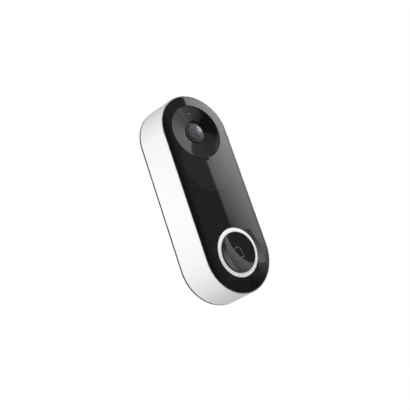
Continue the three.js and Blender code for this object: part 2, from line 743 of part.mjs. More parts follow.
// ---------------------------------------------------------------- rear cover and what it carries
const flap = { width: 15, height: 8, thickness: 1.2, x: 6 };
const reset = { x: -7.5, radius: 1.5, travel: 0.5 };
const tamper = { z: buttonZ + 11.3, radius: 1.6, travel: 0.6 };
const catchHalf = 3.4;
const catchZ = buttonZ - 3.7;

function flapPocket() {
  const floorY = backY - flap.thickness - 0.2;
  return tablet(flap.x, chargeZ, flap.width + 0.6, flap.height + 0.6, 1.8, floorY, backY + 1);
}

function rearCover() {
  const edge = stadium(outline(rearEdgeY), rearEdgeY, backY, outline(backY));
  const lip = stadium(lipOuter, lipFrontY, rearEdgeY + 0.5);
  const lipHollow = stadium(lipInner, lipFrontY - 1, rearInnerY);
  const shellOnly = cut(joined(edge, lip), lipHollow);
  const withBosses = joined(shellOnly, ...lugPlaces.map(keyholeBoss));
  const screwCuts = bossPlaces.flatMap(([x, z]) => [
    disc(boltRadius + 0.3, rearInnerY - 1, backY + 1, x, z),
    disc(2.3, backY - 1.5, backY + 1, x, z, 20),
  ]);
  const portCut = block(port.x, chargeZ, port.width + 0.6, port.height + 0.6, rearInnerY - 1, backY + 1);
  const resetCut = disc(reset.radius + 0.2, rearInnerY - 1, backY + 1, reset.x, chargeZ);
  const tamperCut = disc(tamper.radius + 0.2, rearInnerY - 1, backY + 1, 0, tamper.z);
  const catchCut = box(-catchHalf, catchHalf, rearEdgeY, backY + 1, catchZ - 2, catchZ + 2);
  return cut(withBosses, ...lugPlaces.map(keyholeHollow), ...screwCuts, flapPocket(), portCut,
    resetCut, tamperCut, catchCut);
}

function rearSeal() {
  const yFront = lipFrontY + 0.6;
  const yBack = rearEdgeY - 1;
  return cut(stadium(cavity(yFront) - 0.1, yFront, yBack), stadium(lipOuter + 0.1, yFront - 1, yBack + 1));
}

function usbPort() {
  const shell = tablet(port.x, chargeZ, port.width, port.height, 1.5, port.y0, port.y1);
  const mouth = tablet(port.x, chargeZ, port.width - 0.7, port.height - 0.7, 1.1, port.y0 + 1, port.y1 + 1);
  const tongue = block(port.x, chargeZ, port.width - 2.6, 0.7, port.y0 + 0.5, port.y1 - 0.8);
  return joined(cut(shell, mouth), tongue);
}

function usbCover() {
  const yFront = backY - flap.thickness - 0.1;
  const lid = tablet(flap.x, chargeZ, flap.width, flap.height, 1.5, yFront, backY - 0.1);
  const plug = tablet(port.x, chargeZ, port.width - 1.4, port.height - 0.9, 1, yFront - 0.7, yFront + 0.5);
  const pull = tablet(flap.x - flap.width / 2 + 1.6, chargeZ, 1.4, 4.6, 0.6, backY - 0.5, backY + 0.25);
  return joined(lid, plug, pull);
}

function pushPin(x, z, radius, yFront, yBack) {
  const collarY = rearInnerY - 0.3;
  const profile = [
    [0, yFront],
    [radius, yFront],
    [radius, collarY - 1],
    [radius + 1, collarY - 1],
    [radius + 1, collarY],
    [radius, collarY],
    [radius, yBack - 0.3],
    [radius - 0.3, yBack],
    [0, yBack],
  ];
  return turned(profile, x, z, pinSides);
}

const resetPinY = port.y0 + 2.6;
const tamperPinY = rearInnerY - 5;
add('rear_cover', rearCover(), satinBlack);
add('rear_seal', rearSeal(), rubber);
add('charge_board', block(0, chargeZ, chargeBoard.width, chargeBoard.height,
  chargeBoard.y, chargeBoard.y + boardThickness), boardGreen);
add('usb_port', usbPort(), steel);
add('usb_cover', usbCover(), rubber);
add('reset_switch', block(reset.x, chargeZ, 4, 4, port.y0, resetPinY - reset.travel - 0.3), chipBlack);
add('reset_button', pushPin(reset.x, chargeZ, reset.radius, resetPinY, backY - 0.5), greyPlastic);
add('tamper_switch', block(0, tamper.z, 4.4, 4.4, boardBackY + 0.1, tamperPinY - tamper.travel - 0.3),
  chipBlack);
add('tamper_pin', pushPin(0, tamper.z, tamper.radius, tamperPinY, -bracketPlate - 0.1), greyPlastic);
add('charge_ribbon', ribbon([
  [chargeBoard.y - 0.35, chargeZ - 2],
  [chargeBoard.y - 0.35, chargeZ + 5],
  [boardRibbonY, boardBottomZ - 4],
  [boardRibbonY, boardBottomZ + 6],
], ribbonThickness, -8, 6), flexAmber);

// ---------------------------------------------------------------- wall bracket
const bracketRadius = panelRadius - 8;
const bracketCentre = arcCentre - 7.8;
const upperHoleZ = bracketCentre + 3;
const lowerHoleZ = -bracketCentre + 13;
const bracketHole = 2.2;
const sinkRadius = 4;

function bracketHook([x, z]) {
  const profile = [
    [0, -bracketPlate + 0.5],
    [lugRadius, -bracketPlate + 0.5],
    [lugRadius, hookBackY],
    [hookRadius, hookBackY],
    [hookRadius, hookBackY - hookThickness],
    [0, hookBackY - hookThickness],
  ];
  return turned(profile, x, z, 20);
}

function latchOpening() {
  const half = catchHalf - 0.2;
  return box(-half, half, -bracketPlate - 1, 1, catchZ - 3.4, catchZ + 9);
}

function wallBracket() {
  const body = stadium(bracketRadius, -bracketPlate, 0, bracketRadius, bracketCentre);
  const hole = (z) => [
    disc(bracketHole, -bracketPlate - 1, 1, 0, z),
    turned([[0, -bracketPlate - 0.5], [sinkRadius, -bracketPlate - 0.5], [sinkRadius, -bracketPlate],
      [bracketHole, -0.6], [0, -0.6]], 0, z, 24),
  ];
  const side = (x) => tablet(x, 2, 6, 34, 2.9, -bracketPlate - 1, 1);
  const windows = [side(-bracketRadius + 5.6), side(bracketRadius - 5.6)];
  return cut(joined(body, ...lugPlaces.map(bracketHook)), ...hole(upperHoleZ), ...hole(lowerHoleZ),
    latchOpening(), ...windows);
}

// A sprung tongue in the bracket's opening, with a nose that stops the doorbell from sliding up.
function releaseLatch() {
  const half = catchHalf - 0.9;
  const strip = box(-half, half, -1.3, -0.7, catchZ - 2.6, catchZ + 8.6);
  const nose = box(-half, half, rearEdgeY + 0.3, -1, catchZ - 1.4, catchZ - 0.2);
  return joined(strip, nose);
}

add('wall_bracket', wallBracket(), satinBlack);
add('release_latch', releaseLatch(), steel);

export default doorbell;
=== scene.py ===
"""Looks of a battery video doorbell on its wall bracket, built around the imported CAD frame.

Metres, in the frame's own axes: the wall is the plane y = 0, the doorbell faces -Y and Z is up.
"""

import json
import math

import bmesh
import bpy
from mathutils import Matrix, Vector


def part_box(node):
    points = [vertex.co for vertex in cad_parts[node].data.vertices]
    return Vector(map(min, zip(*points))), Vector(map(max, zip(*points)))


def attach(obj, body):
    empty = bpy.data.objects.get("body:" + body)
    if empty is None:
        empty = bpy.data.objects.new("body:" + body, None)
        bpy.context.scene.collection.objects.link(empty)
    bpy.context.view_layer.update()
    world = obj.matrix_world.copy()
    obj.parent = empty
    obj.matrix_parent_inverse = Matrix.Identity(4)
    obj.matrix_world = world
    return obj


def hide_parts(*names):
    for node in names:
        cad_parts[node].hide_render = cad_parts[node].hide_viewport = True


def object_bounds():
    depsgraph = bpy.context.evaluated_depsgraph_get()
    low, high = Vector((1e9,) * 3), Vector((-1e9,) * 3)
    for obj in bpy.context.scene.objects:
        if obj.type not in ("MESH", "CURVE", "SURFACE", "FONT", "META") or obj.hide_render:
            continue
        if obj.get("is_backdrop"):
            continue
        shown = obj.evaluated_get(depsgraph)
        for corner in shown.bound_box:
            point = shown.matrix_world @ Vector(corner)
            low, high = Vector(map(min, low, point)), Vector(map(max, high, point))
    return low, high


bl_info = {
    "name": "Video Doorbell",
    "version": (1, 0, 0),
    "blender": (4, 5, 0),
    "location": "View3D > Sidebar > Doorbell",
    "description": "Models the visible pieces and finishes of a battery video doorbell",
    "category": "Add Mesh",
}

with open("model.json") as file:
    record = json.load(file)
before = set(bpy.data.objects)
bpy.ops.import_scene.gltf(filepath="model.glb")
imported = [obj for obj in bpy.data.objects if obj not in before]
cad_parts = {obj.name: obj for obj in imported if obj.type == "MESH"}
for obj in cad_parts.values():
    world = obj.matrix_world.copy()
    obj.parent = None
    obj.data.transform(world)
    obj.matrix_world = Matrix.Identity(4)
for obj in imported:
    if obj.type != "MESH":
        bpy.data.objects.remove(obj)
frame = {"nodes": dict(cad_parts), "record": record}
cad_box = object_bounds()

MM = 0.001
ROUND = 144                     # facets around a long outline or a large round piece
SMALL_ROUND = 72                # facets around a lens or another small round piece
PIN_ROUND = 32                  # facets around a pin or a screw

PANEL_LOW, PANEL_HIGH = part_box("front_panel")
SHELL_LOW, SHELL_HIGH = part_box("outer_housing")
COVER_LOW, COVER_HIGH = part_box("rear_cover")
BEZEL_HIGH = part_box("camera_bezel")[1]
RING_LOW, RING_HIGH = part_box("light_ring")
CAP_LOW, CAP_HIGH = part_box("button_cap")

PANEL_RADIUS = PANEL_HIGH[0]
SPREAD = PANEL_HIGH[2] - PANEL_RADIUS      # height of each round end's centre above or below the middle
FRONT = PANEL_LOW[1]
PANEL_BACK = PANEL_HIGH[1]
CAMERA_Z = SPREAD
BUTTON_Z = -SPREAD
CARD_DEPTH = -0.5               # plane of the large cards, in front of the doorbell
SEAM_LEFT, SEAM_RIGHT, SEAM_LOW = 0.418, 1.05, 0.375        # edge between them, a shallow curve
SEAM_RISE, SEAM_BEND = 0.29, 0.38                           # its slope at the left, and how fast that grows


# ------------------------------------------------------------------ sizes, colours and the studio

def length(name, description, millimetres):
    """A length property, given in millimetres and held in metres."""
    return bpy.props.FloatProperty(
        name=name, description=description, default=millimetres * MM, unit="LENGTH", precision=5
    )


def colour(name, description, red, green, blue):
    """A colour property."""
    return bpy.props.FloatVectorProperty(
        name=name, description=description, default=(red, green, blue), subtype="COLOR", min=0, max=1
    )


def strength(name, description, default):
    """A strength of light."""
    return bpy.props.FloatProperty(name=name, description=description, default=default, min=0)


class DoorbellSizes(bpy.types.PropertyGroup):
    """Sizes that the looks add to the frame's own."""

    rim_width: length("Rim width", "Lip of the shell around the panel", 0.65)
    rim_round: length("Rim rounding", "Radius on the outer edge of the shell's lip", 0.5)
    panel_inset: length("Panel inset", "Gap between the glossy panel and the lip", 0.15)
    panel_round: length("Panel rounding", "Radius on the edge of the glossy panel", 0.3)
    seam: length("Seam", "Gap between neighbouring pieces of the front", 0.1)
    edge_break: length("Edge break", "Small chamfer on the edges of openings", 0.12)
    dish_flange: length("Dish flange", "Flange of the dish, behind the panel", 1.05)
    dish_depth: length("Dish depth", "Dish, from its outer edge to the lens throat", 2.2)
    ring_flange: length("Ring flange", "Flange of the light ring, behind the panel", 1.2)
    cap_radius: length("Button radius", "Radius of the call button's face", 12.9)
    cap_round: length("Button rounding", "Radius on the edge of the call button", 0.35)
    cap_hollow: length("Button hollow", "How far the button's face dips in its middle", 1.2)
    icon_line: length("Icon line", "Width of the bell icon's line", 0.4)
    icon_drop: length("Icon drop", "How far the bell icon sits below the button's middle", 0.9)
    sensor_edge: length("Sensor window edge", "Chamfer on the sensor window", 0.03)


class DoorbellColours(bpy.types.PropertyGroup):
    """Colours of the finishes."""

    shell: colour("Shell", "White satin shell", 0.93, 0.935, 0.94)
    panel: colour("Panel", "Glossy black panel", 0.012, 0.012, 0.013)
    smoked: colour("Sensor window", "Smoked sensor window", 0.027, 0.027, 0.029)
    dish: colour("Dish", "Black dish around the camera", 0.012, 0.012, 0.012)
    collar: colour("Collar", "Dark grey collar and barrel of the lens", 0.11, 0.11, 0.114)
    cap: colour("Button", "Glossy black call button", 0.014, 0.014, 0.015)
    ring: colour("Light ring", "Frosted light ring", 0.86, 0.86, 0.85)
    icon: colour("Bell icon", "Grey bell icon", 0.24, 0.24, 0.245)
    lens: colour("Lens coating", "Purple tint of the coated lens", 0.3, 0.28, 0.34)
    back: colour("Rear cover", "Black rear cover", 0.022, 0.022, 0.023)
    bracket: colour("Bracket", "Black wall bracket", 0.03, 0.03, 0.032)
    rubber: colour("Rubber", "Black rubber", 0.02, 0.02, 0.02)


class DoorbellStudio(bpy.types.PropertyGroup):
    """The camera and the lights around the doorbell."""

    azimuth: bpy.props.FloatProperty(
        name="Azimuth", description="Turn of the view from straight ahead", default=math.radians(39.52),
        subtype="ANGLE",
    )
    elevation: bpy.props.FloatProperty(
        name="Elevation", description="How far the view looks up", default=math.radians(9.40),
        subtype="ANGLE",
    )
    roll: bpy.props.FloatProperty(
        name="Roll", description="Turn of the camera about its view", default=math.radians(18.79),
        subtype="ANGLE",
    )
    distance: length("Distance", "Camera to the point it is aimed at", 259.1)
    aim_x: length("Aim across", "Point on the panel that the camera is aimed at, across", -13.2)
    aim_z: length("Aim up", "Point on the panel that the camera is aimed at, up", -7.86)
    lens: bpy.props.FloatProperty(
        name="Focal length", description="Focal length on a 36 mm sensor, in mm", default=37.54,
    )
    ambient: strength("Surrounding light", "Light from all around", 0.5)
    side_light: strength("Side light", "Power of the large light on the left, in watts", 1)
    side_fill: strength("Side fill", "Power of the small light close on the left, in watts", 0.12)
    main_card: strength("Main card", "Brightness of the large card on the right at its top", 3.9)
    main_card_side: strength("Main card's side", "Brightness that the large card gains to its right", 1.9)
    upper_card: strength("Upper card", "Brightness of the card above the large one", 0.85)
    dish_card: strength("Dish card", "Brightness of the small card in front of the dish", 2.3)
    button_card: strength("Button card", "Brightness of the small card in front of the button", 2.0)
    strip: strength("Strip", "Brightness of the narrow light far to the right", 12)
    shade: strength("Shade", "Brightness of the dark card in front", 0.22)


# ------------------------------------------------------------------ modelling helpers

def start():
    """Leaves nothing selected, in object mode."""
    if bpy.context.object and bpy.context.object.mode != "OBJECT":
        bpy.ops.object.mode_set(mode="OBJECT")
    bpy.ops.object.select_all(action="DESELECT")


def activate(piece):
    """Makes a piece the only selected and active object."""
    start()
    piece.select_set(True)
    bpy.context.view_layer.objects.active = piece


def named(name):
    """Names the object that was just added."""
    piece = bpy.context.object
    piece.name = name
    piece.data.name = name
    return piece


def select_in_edit(piece, test, kind="verts"):
    """Selects the vertices, edges or faces that pass a test, and nothing else."""
    modes = {"verts": "VERT", "edges": "EDGE", "faces": "FACE"}
    bpy.ops.mesh.select_mode(type=modes[kind])
    bpy.ops.mesh.select_all(action="DESELECT")
    mesh = bmesh.from_edit_mesh(piece.data)
    for item in getattr(mesh, kind):
        if test(item):
            item.select_set(True)
    mesh.select_flush_mode()
    bmesh.update_edit_mesh(piece.data)


def rounded(corners, closed=False, steps=6):
    """(radius, depth) points from (radius, depth, rounding) corners, with each rounding as an arc."""
    points = []
    count = len(corners)
    for index, (radius, depth, rounding) in enumerate(corners):
        corner = Vector((radius, depth))
        ends = index in (0, count - 1) and not closed
        if ends or rounding <= 0:
            points.append(tuple(corner))
            continue
        before = Vector(corners[index - 1][:2]) - corner
        after = Vector(corners[(index + 1) % count][:2]) - corner
        before.normalize()
        after.normalize()
        half = before.angle(after) / 2
        centre = corner + (before + after).normalized() * (rounding / math.sin(half))
        first = corner + before * (rounding / math.tan(half)) - centre
        last = corner + after * (rounding / math.tan(half)) - centre
        sweep = math.atan2(first.x * last.y - first.y * last.x, first.dot(last))
        for step in range(steps + 1):
            angle = sweep * step / steps
            turned_point = Matrix.Rotation(angle, 2) @ first
            points.append(tuple(centre + turned_point))
    return points


def turned(name, profile, sides=ROUND, closed=False, x=0, z=0, spread=0):
    """A body turned about an axis along Y from (radius, depth) points.

    A closed profile gives a ring. An open one gives a disc, whose ends are filled.
    With a spread, its upper and lower halves are drawn apart into a round-ended outline.
    """
    start()
    bpy.ops.mesh.primitive_circle_add(vertices=len(profile), radius=MM, fill_type="NOTHING")
    piece = named(name)
    for vertex, (radius, depth) in zip(piece.data.vertices, profile):
        vertex.co = (radius, depth, 0)
    bpy.ops.object.mode_set(mode="EDIT")
    if not closed:
        last = len(profile) - 1
        select_in_edit(piece, lambda edge: {v.index for v in edge.verts} == {0, last}, "edges")
        bpy.ops.mesh.delete(type="EDGE")
    bpy.ops.mesh.select_all(action="SELECT")
    bpy.ops.mesh.spin(steps=sides, angle=2 * math.pi, center=(0, 0, 0), axis=(0, 1, 0))
    bpy.ops.mesh.select_all(action="SELECT")
    bpy.ops.mesh.remove_doubles(threshold=1e-7)
    if not closed:
        select_in_edit(piece, lambda edge: edge.is_boundary, "edges")
        bpy.ops.mesh.fill_holes(sides=0)
    bpy.ops.object.mode_set(mode="OBJECT")
    if spread:
        piece.rotation_euler[1] = math.pi / sides
        bpy.ops.object.transform_apply(rotation=True)
        draw_apart(piece, spread)
    bpy.ops.object.mode_set(mode="EDIT")
    bpy.ops.mesh.select_all(action="SELECT")
    bpy.ops.mesh.normals_make_consistent(inside=False)
    bpy.ops.object.mode_set(mode="OBJECT")
    piece.location = (x, 0, z)
    bpy.ops.object.transform_apply(location=True)
    return piece


def draw_apart(piece, spread):
    """Moves the upper half of a round piece up and its lower half down."""
    bpy.ops.object.mode_set(mode="EDIT")
    for sign in (1, -1):
        select_in_edit(piece, lambda vertex, side=sign: vertex.co.z * side > 1e-6)
        bpy.ops.transform.translate(value=(0, 0, sign * spread))
    bpy.ops.object.mode_set(mode="OBJECT")


def block(name, low, high, corner=0, corner_steps=5):
    """A block between two corners, its four edges along Y rounded."""
    start()
    bpy.ops.mesh.primitive_cube_add(size=1)
    piece = named(name)
    low, high = Vector(low), Vector(high)
    piece.scale = high - low
    piece.location = (low + high) / 2
    bpy.ops.object.transform_apply(location=True, rotation=True, scale=True)
    if corner:
        bpy.ops.object.mode_set(mode="EDIT")
        select_in_edit(piece, lambda edge: along(edge, 1), "edges")
        bpy.ops.mesh.bevel(offset=corner, segments=corner_steps, affect="EDGES")
        bpy.ops.object.mode_set(mode="OBJECT")
    return piece


def middle(low, high):
    """X and Z of the middle of a box."""
    return (low[0] + high[0]) / 2, (low[2] + high[2]) / 2


def along(edge, axis):
    """Whether an edge lies along an axis."""
    run = edge.verts[1].co - edge.verts[0].co
    return abs(run[axis]) > 0.999 * run.length


def carve(piece, *cutters, operation="DIFFERENCE"):
    """Cuts each cutter out of a piece, or joins it on, and deletes the cutter."""
    for cutter in cutters:
        activate(piece)
        bpy.ops.object.modifier_add(type="BOOLEAN")
        modifier = piece.modifiers[-1]
        modifier.operation = operation
        modifier.solver = "EXACT"
        modifier.object = cutter
        bpy.ops.object.modifier_apply(modifier=modifier.name)
        bpy.data.objects.remove(cutter, do_unlink=True)
    return piece


def merge(piece, *others):
    """Joins other objects into a piece as they are."""
    activate(piece)
    for other in others:
        other.select_set(True)
    bpy.ops.object.join()
    return piece


def copied(piece, name, move):
    """A copy of a piece with its own mesh, moved."""
    activate(piece)
    bpy.ops.object.duplicate(linked=False)
    copy = named(name)
    copy.location = move
    bpy.ops.object.transform_apply(location=True)
    return copy


def hole_cutter(radius, front, back, chamfer, x=0, z=0, sides=SMALL_ROUND):
    """A cutter for a round hole from front to back, whose front edge is broken."""
    mouth = radius + chamfer
    profile = [(mouth, front - MM), (mouth, front), (radius, front + chamfer), (radius, back)]
    return turned("cutter", profile, sides, x=x, z=z)


def finish_piece(piece, material, slot, body, *replaced, smooth=35):
    """Gives a finished piece its shading, material and body, and hides what it stands for. The slot argument
    is not used.
    """
    activate(piece)
    bpy.ops.object.shade_smooth_by_angle(angle=math.radians(smooth))
    bpy.ops.object.modifier_add(type="WEIGHTED_NORMAL")
    modifier = piece.modifiers[-1]
    modifier.keep_sharp = True
    modifier.weight = 100
    bpy.ops.object.modifier_apply(modifier=modifier.name)
    piece.data.materials.clear()
    piece.data.materials.append(material)
    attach(piece, body)
    if replaced:
        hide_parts(*replaced)
    start()


# ------------------------------------------------------------------ materials

class Surface:
    """A material on the Principled shader, in object coordinates."""

    def __init__(self, name, base, roughness, **sockets):
        self.material = bpy.data.materials.new(name)
        self.material.use_nodes = True
        self.tree = self.material.node_tree
        self.shader = self.tree.nodes["Principled BSDF"]
        self.shader.inputs["Base Color"].default_value = (*base, 1)
        self.shader.inputs["Roughness"].default_value = roughness
        for socket, value in sockets.items():
            self.shader.inputs[socket.replace("_", " ")].default_value = value
        self.base = base
        self.roughness = roughness
        coordinates = self.tree.nodes.new("ShaderNodeTexCoord")
        self.place = coordinates.outputs["Object"]

    def link(self, source, target):
        self.tree.links.new(source, target)

    def stretched(self, scale):
        """Object coordinates scaled unevenly, for brushing and streaks."""
        mapping = self.tree.nodes.new("ShaderNodeMapping")
        mapping.inputs["Scale"].default_value = scale
        self.link(self.place, mapping.inputs["Vector"])
        return mapping.outputs["Vector"]

    def noise(self, size, detail=3, vector=None):
        """Noise whose features are about the given size in metres."""
        node = self.tree.nodes.new("ShaderNodeTexNoise")
        node.inputs["Scale"].default_value = 1 / size
        node.inputs["Detail"].default_value = detail
        self.link(vector or self.place, node.inputs["Vector"])
        return node.outputs["Fac"]

    def cells(self, size):
        """Distance to the nearest of scattered points, for meshes and leathery grain."""
        node = self.tree.nodes.new("ShaderNodeTexVoronoi")
        node.inputs["Scale"].default_value = 1 / size
        self.link(self.place, node.inputs["Vector"])
        return node.outputs["Distance"]

    def height(self):
        """Height of the point in the shared frame."""
        node = self.tree.nodes.new("ShaderNodeSeparateXYZ")
        self.link(self.place, node.inputs["Vector"])
        return node.outputs["Z"]

    def ranged(self, value, low, high, start=0.3, stop=0.7):
        """A value mapped to a range."""
        node = self.tree.nodes.new("ShaderNodeMapRange")
        node.inputs["From Min"].default_value = start
        node.inputs["From Max"].default_value = stop
        node.inputs["To Min"].default_value = low
        node.inputs["To Max"].default_value = high
        self.link(value, node.inputs["Value"])
        return node.outputs["Result"]

    def vary_roughness(self, value, spread):
        """Roughness that wanders around the base roughness."""
        low = max(self.roughness - spread, 0)
        self.link(self.ranged(value, low, self.roughness + spread), self.shader.inputs["Roughness"])
        return self

    def vary_colour(self, value, darker):
        """Base colour that wanders between itself and a darker shade."""
        node = self.tree.nodes.new("ShaderNodeMix")
        node.data_type = "RGBA"
        node.inputs[6].default_value = (*(channel * darker for channel in self.base), 1)
        node.inputs[7].default_value = (*self.base, 1)
        self.link(self.ranged(value, 0, 1), node.inputs[0])
        self.link(node.outputs[2], self.shader.inputs["Base Color"])
        return self

    def bump(self, value, depth, strength=1):
        """Relief of the given depth in metres."""
        node = self.tree.nodes.new("ShaderNodeBump")
        node.inputs["Strength"].default_value = strength
        node.inputs["Distance"].default_value = depth
        self.link(value, node.inputs["Height"])
        self.link(node.outputs["Normal"], self.shader.inputs["Normal"])
        return self


def moulded(name, base, roughness, grain=0.25 * MM, depth=0.004 * MM, darker=0.96, **sockets):
    """Moulded plastic with a fine spark-eroded grain and slight wear in its gloss."""
    surface = Surface(name, base, roughness, **sockets)
    surface.vary_roughness(surface.noise(9 * MM, 5), 0.04)
    surface.vary_colour(surface.noise(22 * MM), darker)
    surface.bump(surface.noise(grain, 2), depth)
    return surface.material


def polished(name, base, roughness, smudge=0.02, **sockets):
    """Polished black plastic, with faint handling marks and fine hairline scratches."""
    surface = Surface(name, base, roughness, **sockets)
    surface.vary_roughness(surface.noise(14 * MM, 6), smudge)
    surface.vary_colour(surface.noise(30 * MM), 0.9)
    hairline = surface.noise(0.5 * MM, 1, surface.stretched((1, 1, 0.04)))
    surface.bump(hairline, 0.0002 * MM, 0.4)
    return surface.material


def brushed(name, base, roughness, direction=(1, 1, 0.03)):
    """Metal brushed in one direction."""
    surface = Surface(name, base, roughness, Metallic=1)
    streaks = surface.noise(0.12 * MM, 2, surface.stretched(direction))
    surface.vary_roughness(streaks, 0.08)
    surface.vary_colour(surface.noise(5 * MM), 0.85)
    surface.bump(streaks, 0.003 * MM, 0.6)
    return surface.material


def board_finish(name, base):
    """Solder mask over a printed board, with its copper tracks as low relief."""
    surface = Surface(name, base, 0.35, Coat_Weight=0.3)
    tracks = surface.cells(1.4 * MM)
    surface.vary_colour(tracks, 0.55)
    surface.vary_roughness(surface.noise(3 * MM), 0.08)
    surface.bump(tracks, 0.03 * MM, 0.5)
    return surface.material


def woven(name, base, roughness, pitch=0.35 * MM):
    """A fine mesh or open foam."""
    surface = Surface(name, base, roughness)
    weave = surface.cells(pitch)
    surface.vary_colour(weave, 0.4)
    surface.vary_roughness(surface.noise(2 * MM), 0.05)
    surface.bump(weave, 0.08 * MM)
    return surface.material


def rubbery(name, base):
    """Matt rubber with a faint bloom."""
    surface = Surface(name, base, 0.72, Specular_IOR_Level=0.35)
    surface.vary_roughness(surface.noise(3 * MM, 5), 0.1)
    surface.vary_colour(surface.noise(6 * MM, 4), 0.8)
    surface.bump(surface.noise(0.16 * MM, 3), 0.006 * MM)
    return surface.material


def coated_glass(name, base, roughness=0.02):
    """Tinted glass with a coloured anti-reflection coating."""
    surface = Surface(name, base, roughness, Transmission_Weight=0.6, IOR=1.5)
    surface.vary_roughness(surface.noise(2 * MM), 0.01)
    return surface.material


# ------------------------------------------------------------------ the pieces

class PieceOperator:
    """What the operators of this add-on share."""

    bl_options = {"REGISTER", "UNDO"}

    def execute(self, context):
        scene = context.scene
        self.build(scene.doorbell_sizes, scene.doorbell_colours)
        return {"FINISHED"}


class DOORBELL_OT_shell(PieceOperator, bpy.types.Operator):
    """Model the white shell, with its rounded lip and the speaker's slots"""

    bl_idname = "doorbell.shell"
    bl_label = "Shell"

    def build(self, sizes, colours):
        front, back = SHELL_LOW[1], SHELL_HIGH[1]
        outer_back = SHELL_HIGH[0]
        outer_front = PANEL_RADIUS + sizes.rim_width
        inner_front = PANEL_RADIUS + sizes.seam
        ledge = PANEL_BACK + 0.2 * MM
        wall = 2.5 * MM
        draft = (outer_back - outer_front) / (back - front)
        inner = lambda depth: outer_front + draft * (depth - front) - wall
        corners = [
            (inner_front, front, 0.1 * MM),
            (outer_front, front, sizes.rim_round),
            (outer_back, back, 0.25 * MM),
            (inner(back), back, 0.2 * MM),
            (inner(ledge), ledge, 0),
            (inner_front, ledge, 0),
        ]
        shell = turned("white_shell", rounded(corners, closed=True), closed=True, spread=SPREAD)
        carve(shell, *self.slots())
        material = moulded("white_satin", colours.shell, 0.38, depth=0.0025 * MM, darker=0.985)
        finish_piece(shell, material, "shell_white", "doorbell", "outer_housing")

    @staticmethod
    def slots():
        """Cutters for the row of slots in front of the speaker."""
        low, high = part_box("speaker_frame")
        count, pitch, height = 7, 2.8 * MM, 1.1 * MM
        middle = (low[2] + high[2]) / 2
        margin = 0.13 * (high[1] - low[1])
        for index in range(count):
            z = middle + (index - (count - 1) / 2) * pitch
            slot_low = (low[0] + 4 * MM, low[1] + margin, z - height / 2)
            slot_high = (low[0] + 12 * MM, high[1] - margin, z + height / 2)
            cutter = block("cutter", slot_low, slot_high)
            bpy.ops.object.mode_set(mode="EDIT")
            select_in_edit(cutter, lambda edge: along(edge, 0), "edges")
            bpy.ops.mesh.bevel(offset=0.5 * MM, segments=5, affect="EDGES")
            bpy.ops.object.mode_set(mode="OBJECT")
            yield cutter


class DOORBELL_OT_panel(PieceOperator, bpy.types.Operator):
    """Model the glossy front panel and the smoked sensor window set into it"""

    bl_idname = "doorbell.panel"
    bl_label = "Front panel"

    def build(self, sizes, colours):
        radius = PANEL_RADIUS - sizes.panel_inset
        corners = [
            (radius - 2 * MM, FRONT, 0),
            (radius, FRONT, sizes.panel_round),
            (radius, PANEL_BACK, 0.1 * MM),
            (radius - 2 * MM, PANEL_BACK, 0),
        ]
        panel = turned("glossy_panel", rounded(corners), spread=SPREAD)
        back = PANEL_BACK + MM
        dish_radius = BEZEL_HIGH[0] - sizes.dish_flange
        ring_radius = RING_HIGH[0] - sizes.ring_flange
        window_low, window_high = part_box("sensor_window")
        window_radius = window_high[0]
        window_z = window_low[2] + window_radius
        lens_low, lens_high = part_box("motion_lens")
        pocket = window_high[1] + 0.1 * MM
        break_ = sizes.edge_break
        carve(
            panel,
            hole_cutter(dish_radius + sizes.seam, FRONT, back, break_, z=CAMERA_Z, sides=ROUND),
            hole_cutter(ring_radius + sizes.seam, FRONT, back, break_, z=BUTTON_Z, sides=ROUND),
            hole_cutter(window_radius + 0.02 * MM, FRONT, pocket, 0.02 * MM, z=window_z, sides=ROUND),
            hole_cutter(lens_high[0] + 0.15 * MM, pocket - MM / 2, back, 0, z=middle(lens_low, lens_high)[1]),
            self.mic_slot(dish_radius),
        )
        panel_material = polished("glossy_black", colours.panel, 0.02, 0.01)
        finish_piece(panel, panel_material, "panel_black", "doorbell", "front_panel", smooth=30)

        window_corners = [
            (window_radius - 2 * MM, FRONT, 0),
            (window_radius, FRONT, sizes.sensor_edge),
            (window_radius, window_high[1], 0),
            (window_radius - 2 * MM, window_high[1], 0),
        ]
        window = turned("smoked_window", rounded(window_corners, steps=3), z=window_z)
        carve(
            window,
            hole_cutter(dish_radius + sizes.seam, FRONT, back, break_, z=CAMERA_Z, sides=ROUND),
            self.mic_slot(dish_radius),
        )
        window_material = polished("smoked_black", colours.smoked, 0.025, 0.01)
        finish_piece(window, window_material, "smoked", "doorbell", "sensor_window", smooth=30)

    @staticmethod
    def mic_slot(dish_radius, name="cutter", front=FRONT - MM, back=PANEL_BACK + 3 * MM):
        """The shape of the microphone's slot, just below the dish."""
        half_width, half_height = 1.8 * MM, 0.6 * MM
        x = 0.8 * MM
        z = CAMERA_Z - dish_radius - 1.0 * MM
        low = (x - half_width, front, z - half_height)
        high = (x + half_width, back, z + half_height)
        return block(name, low, high, 0.5 * MM)


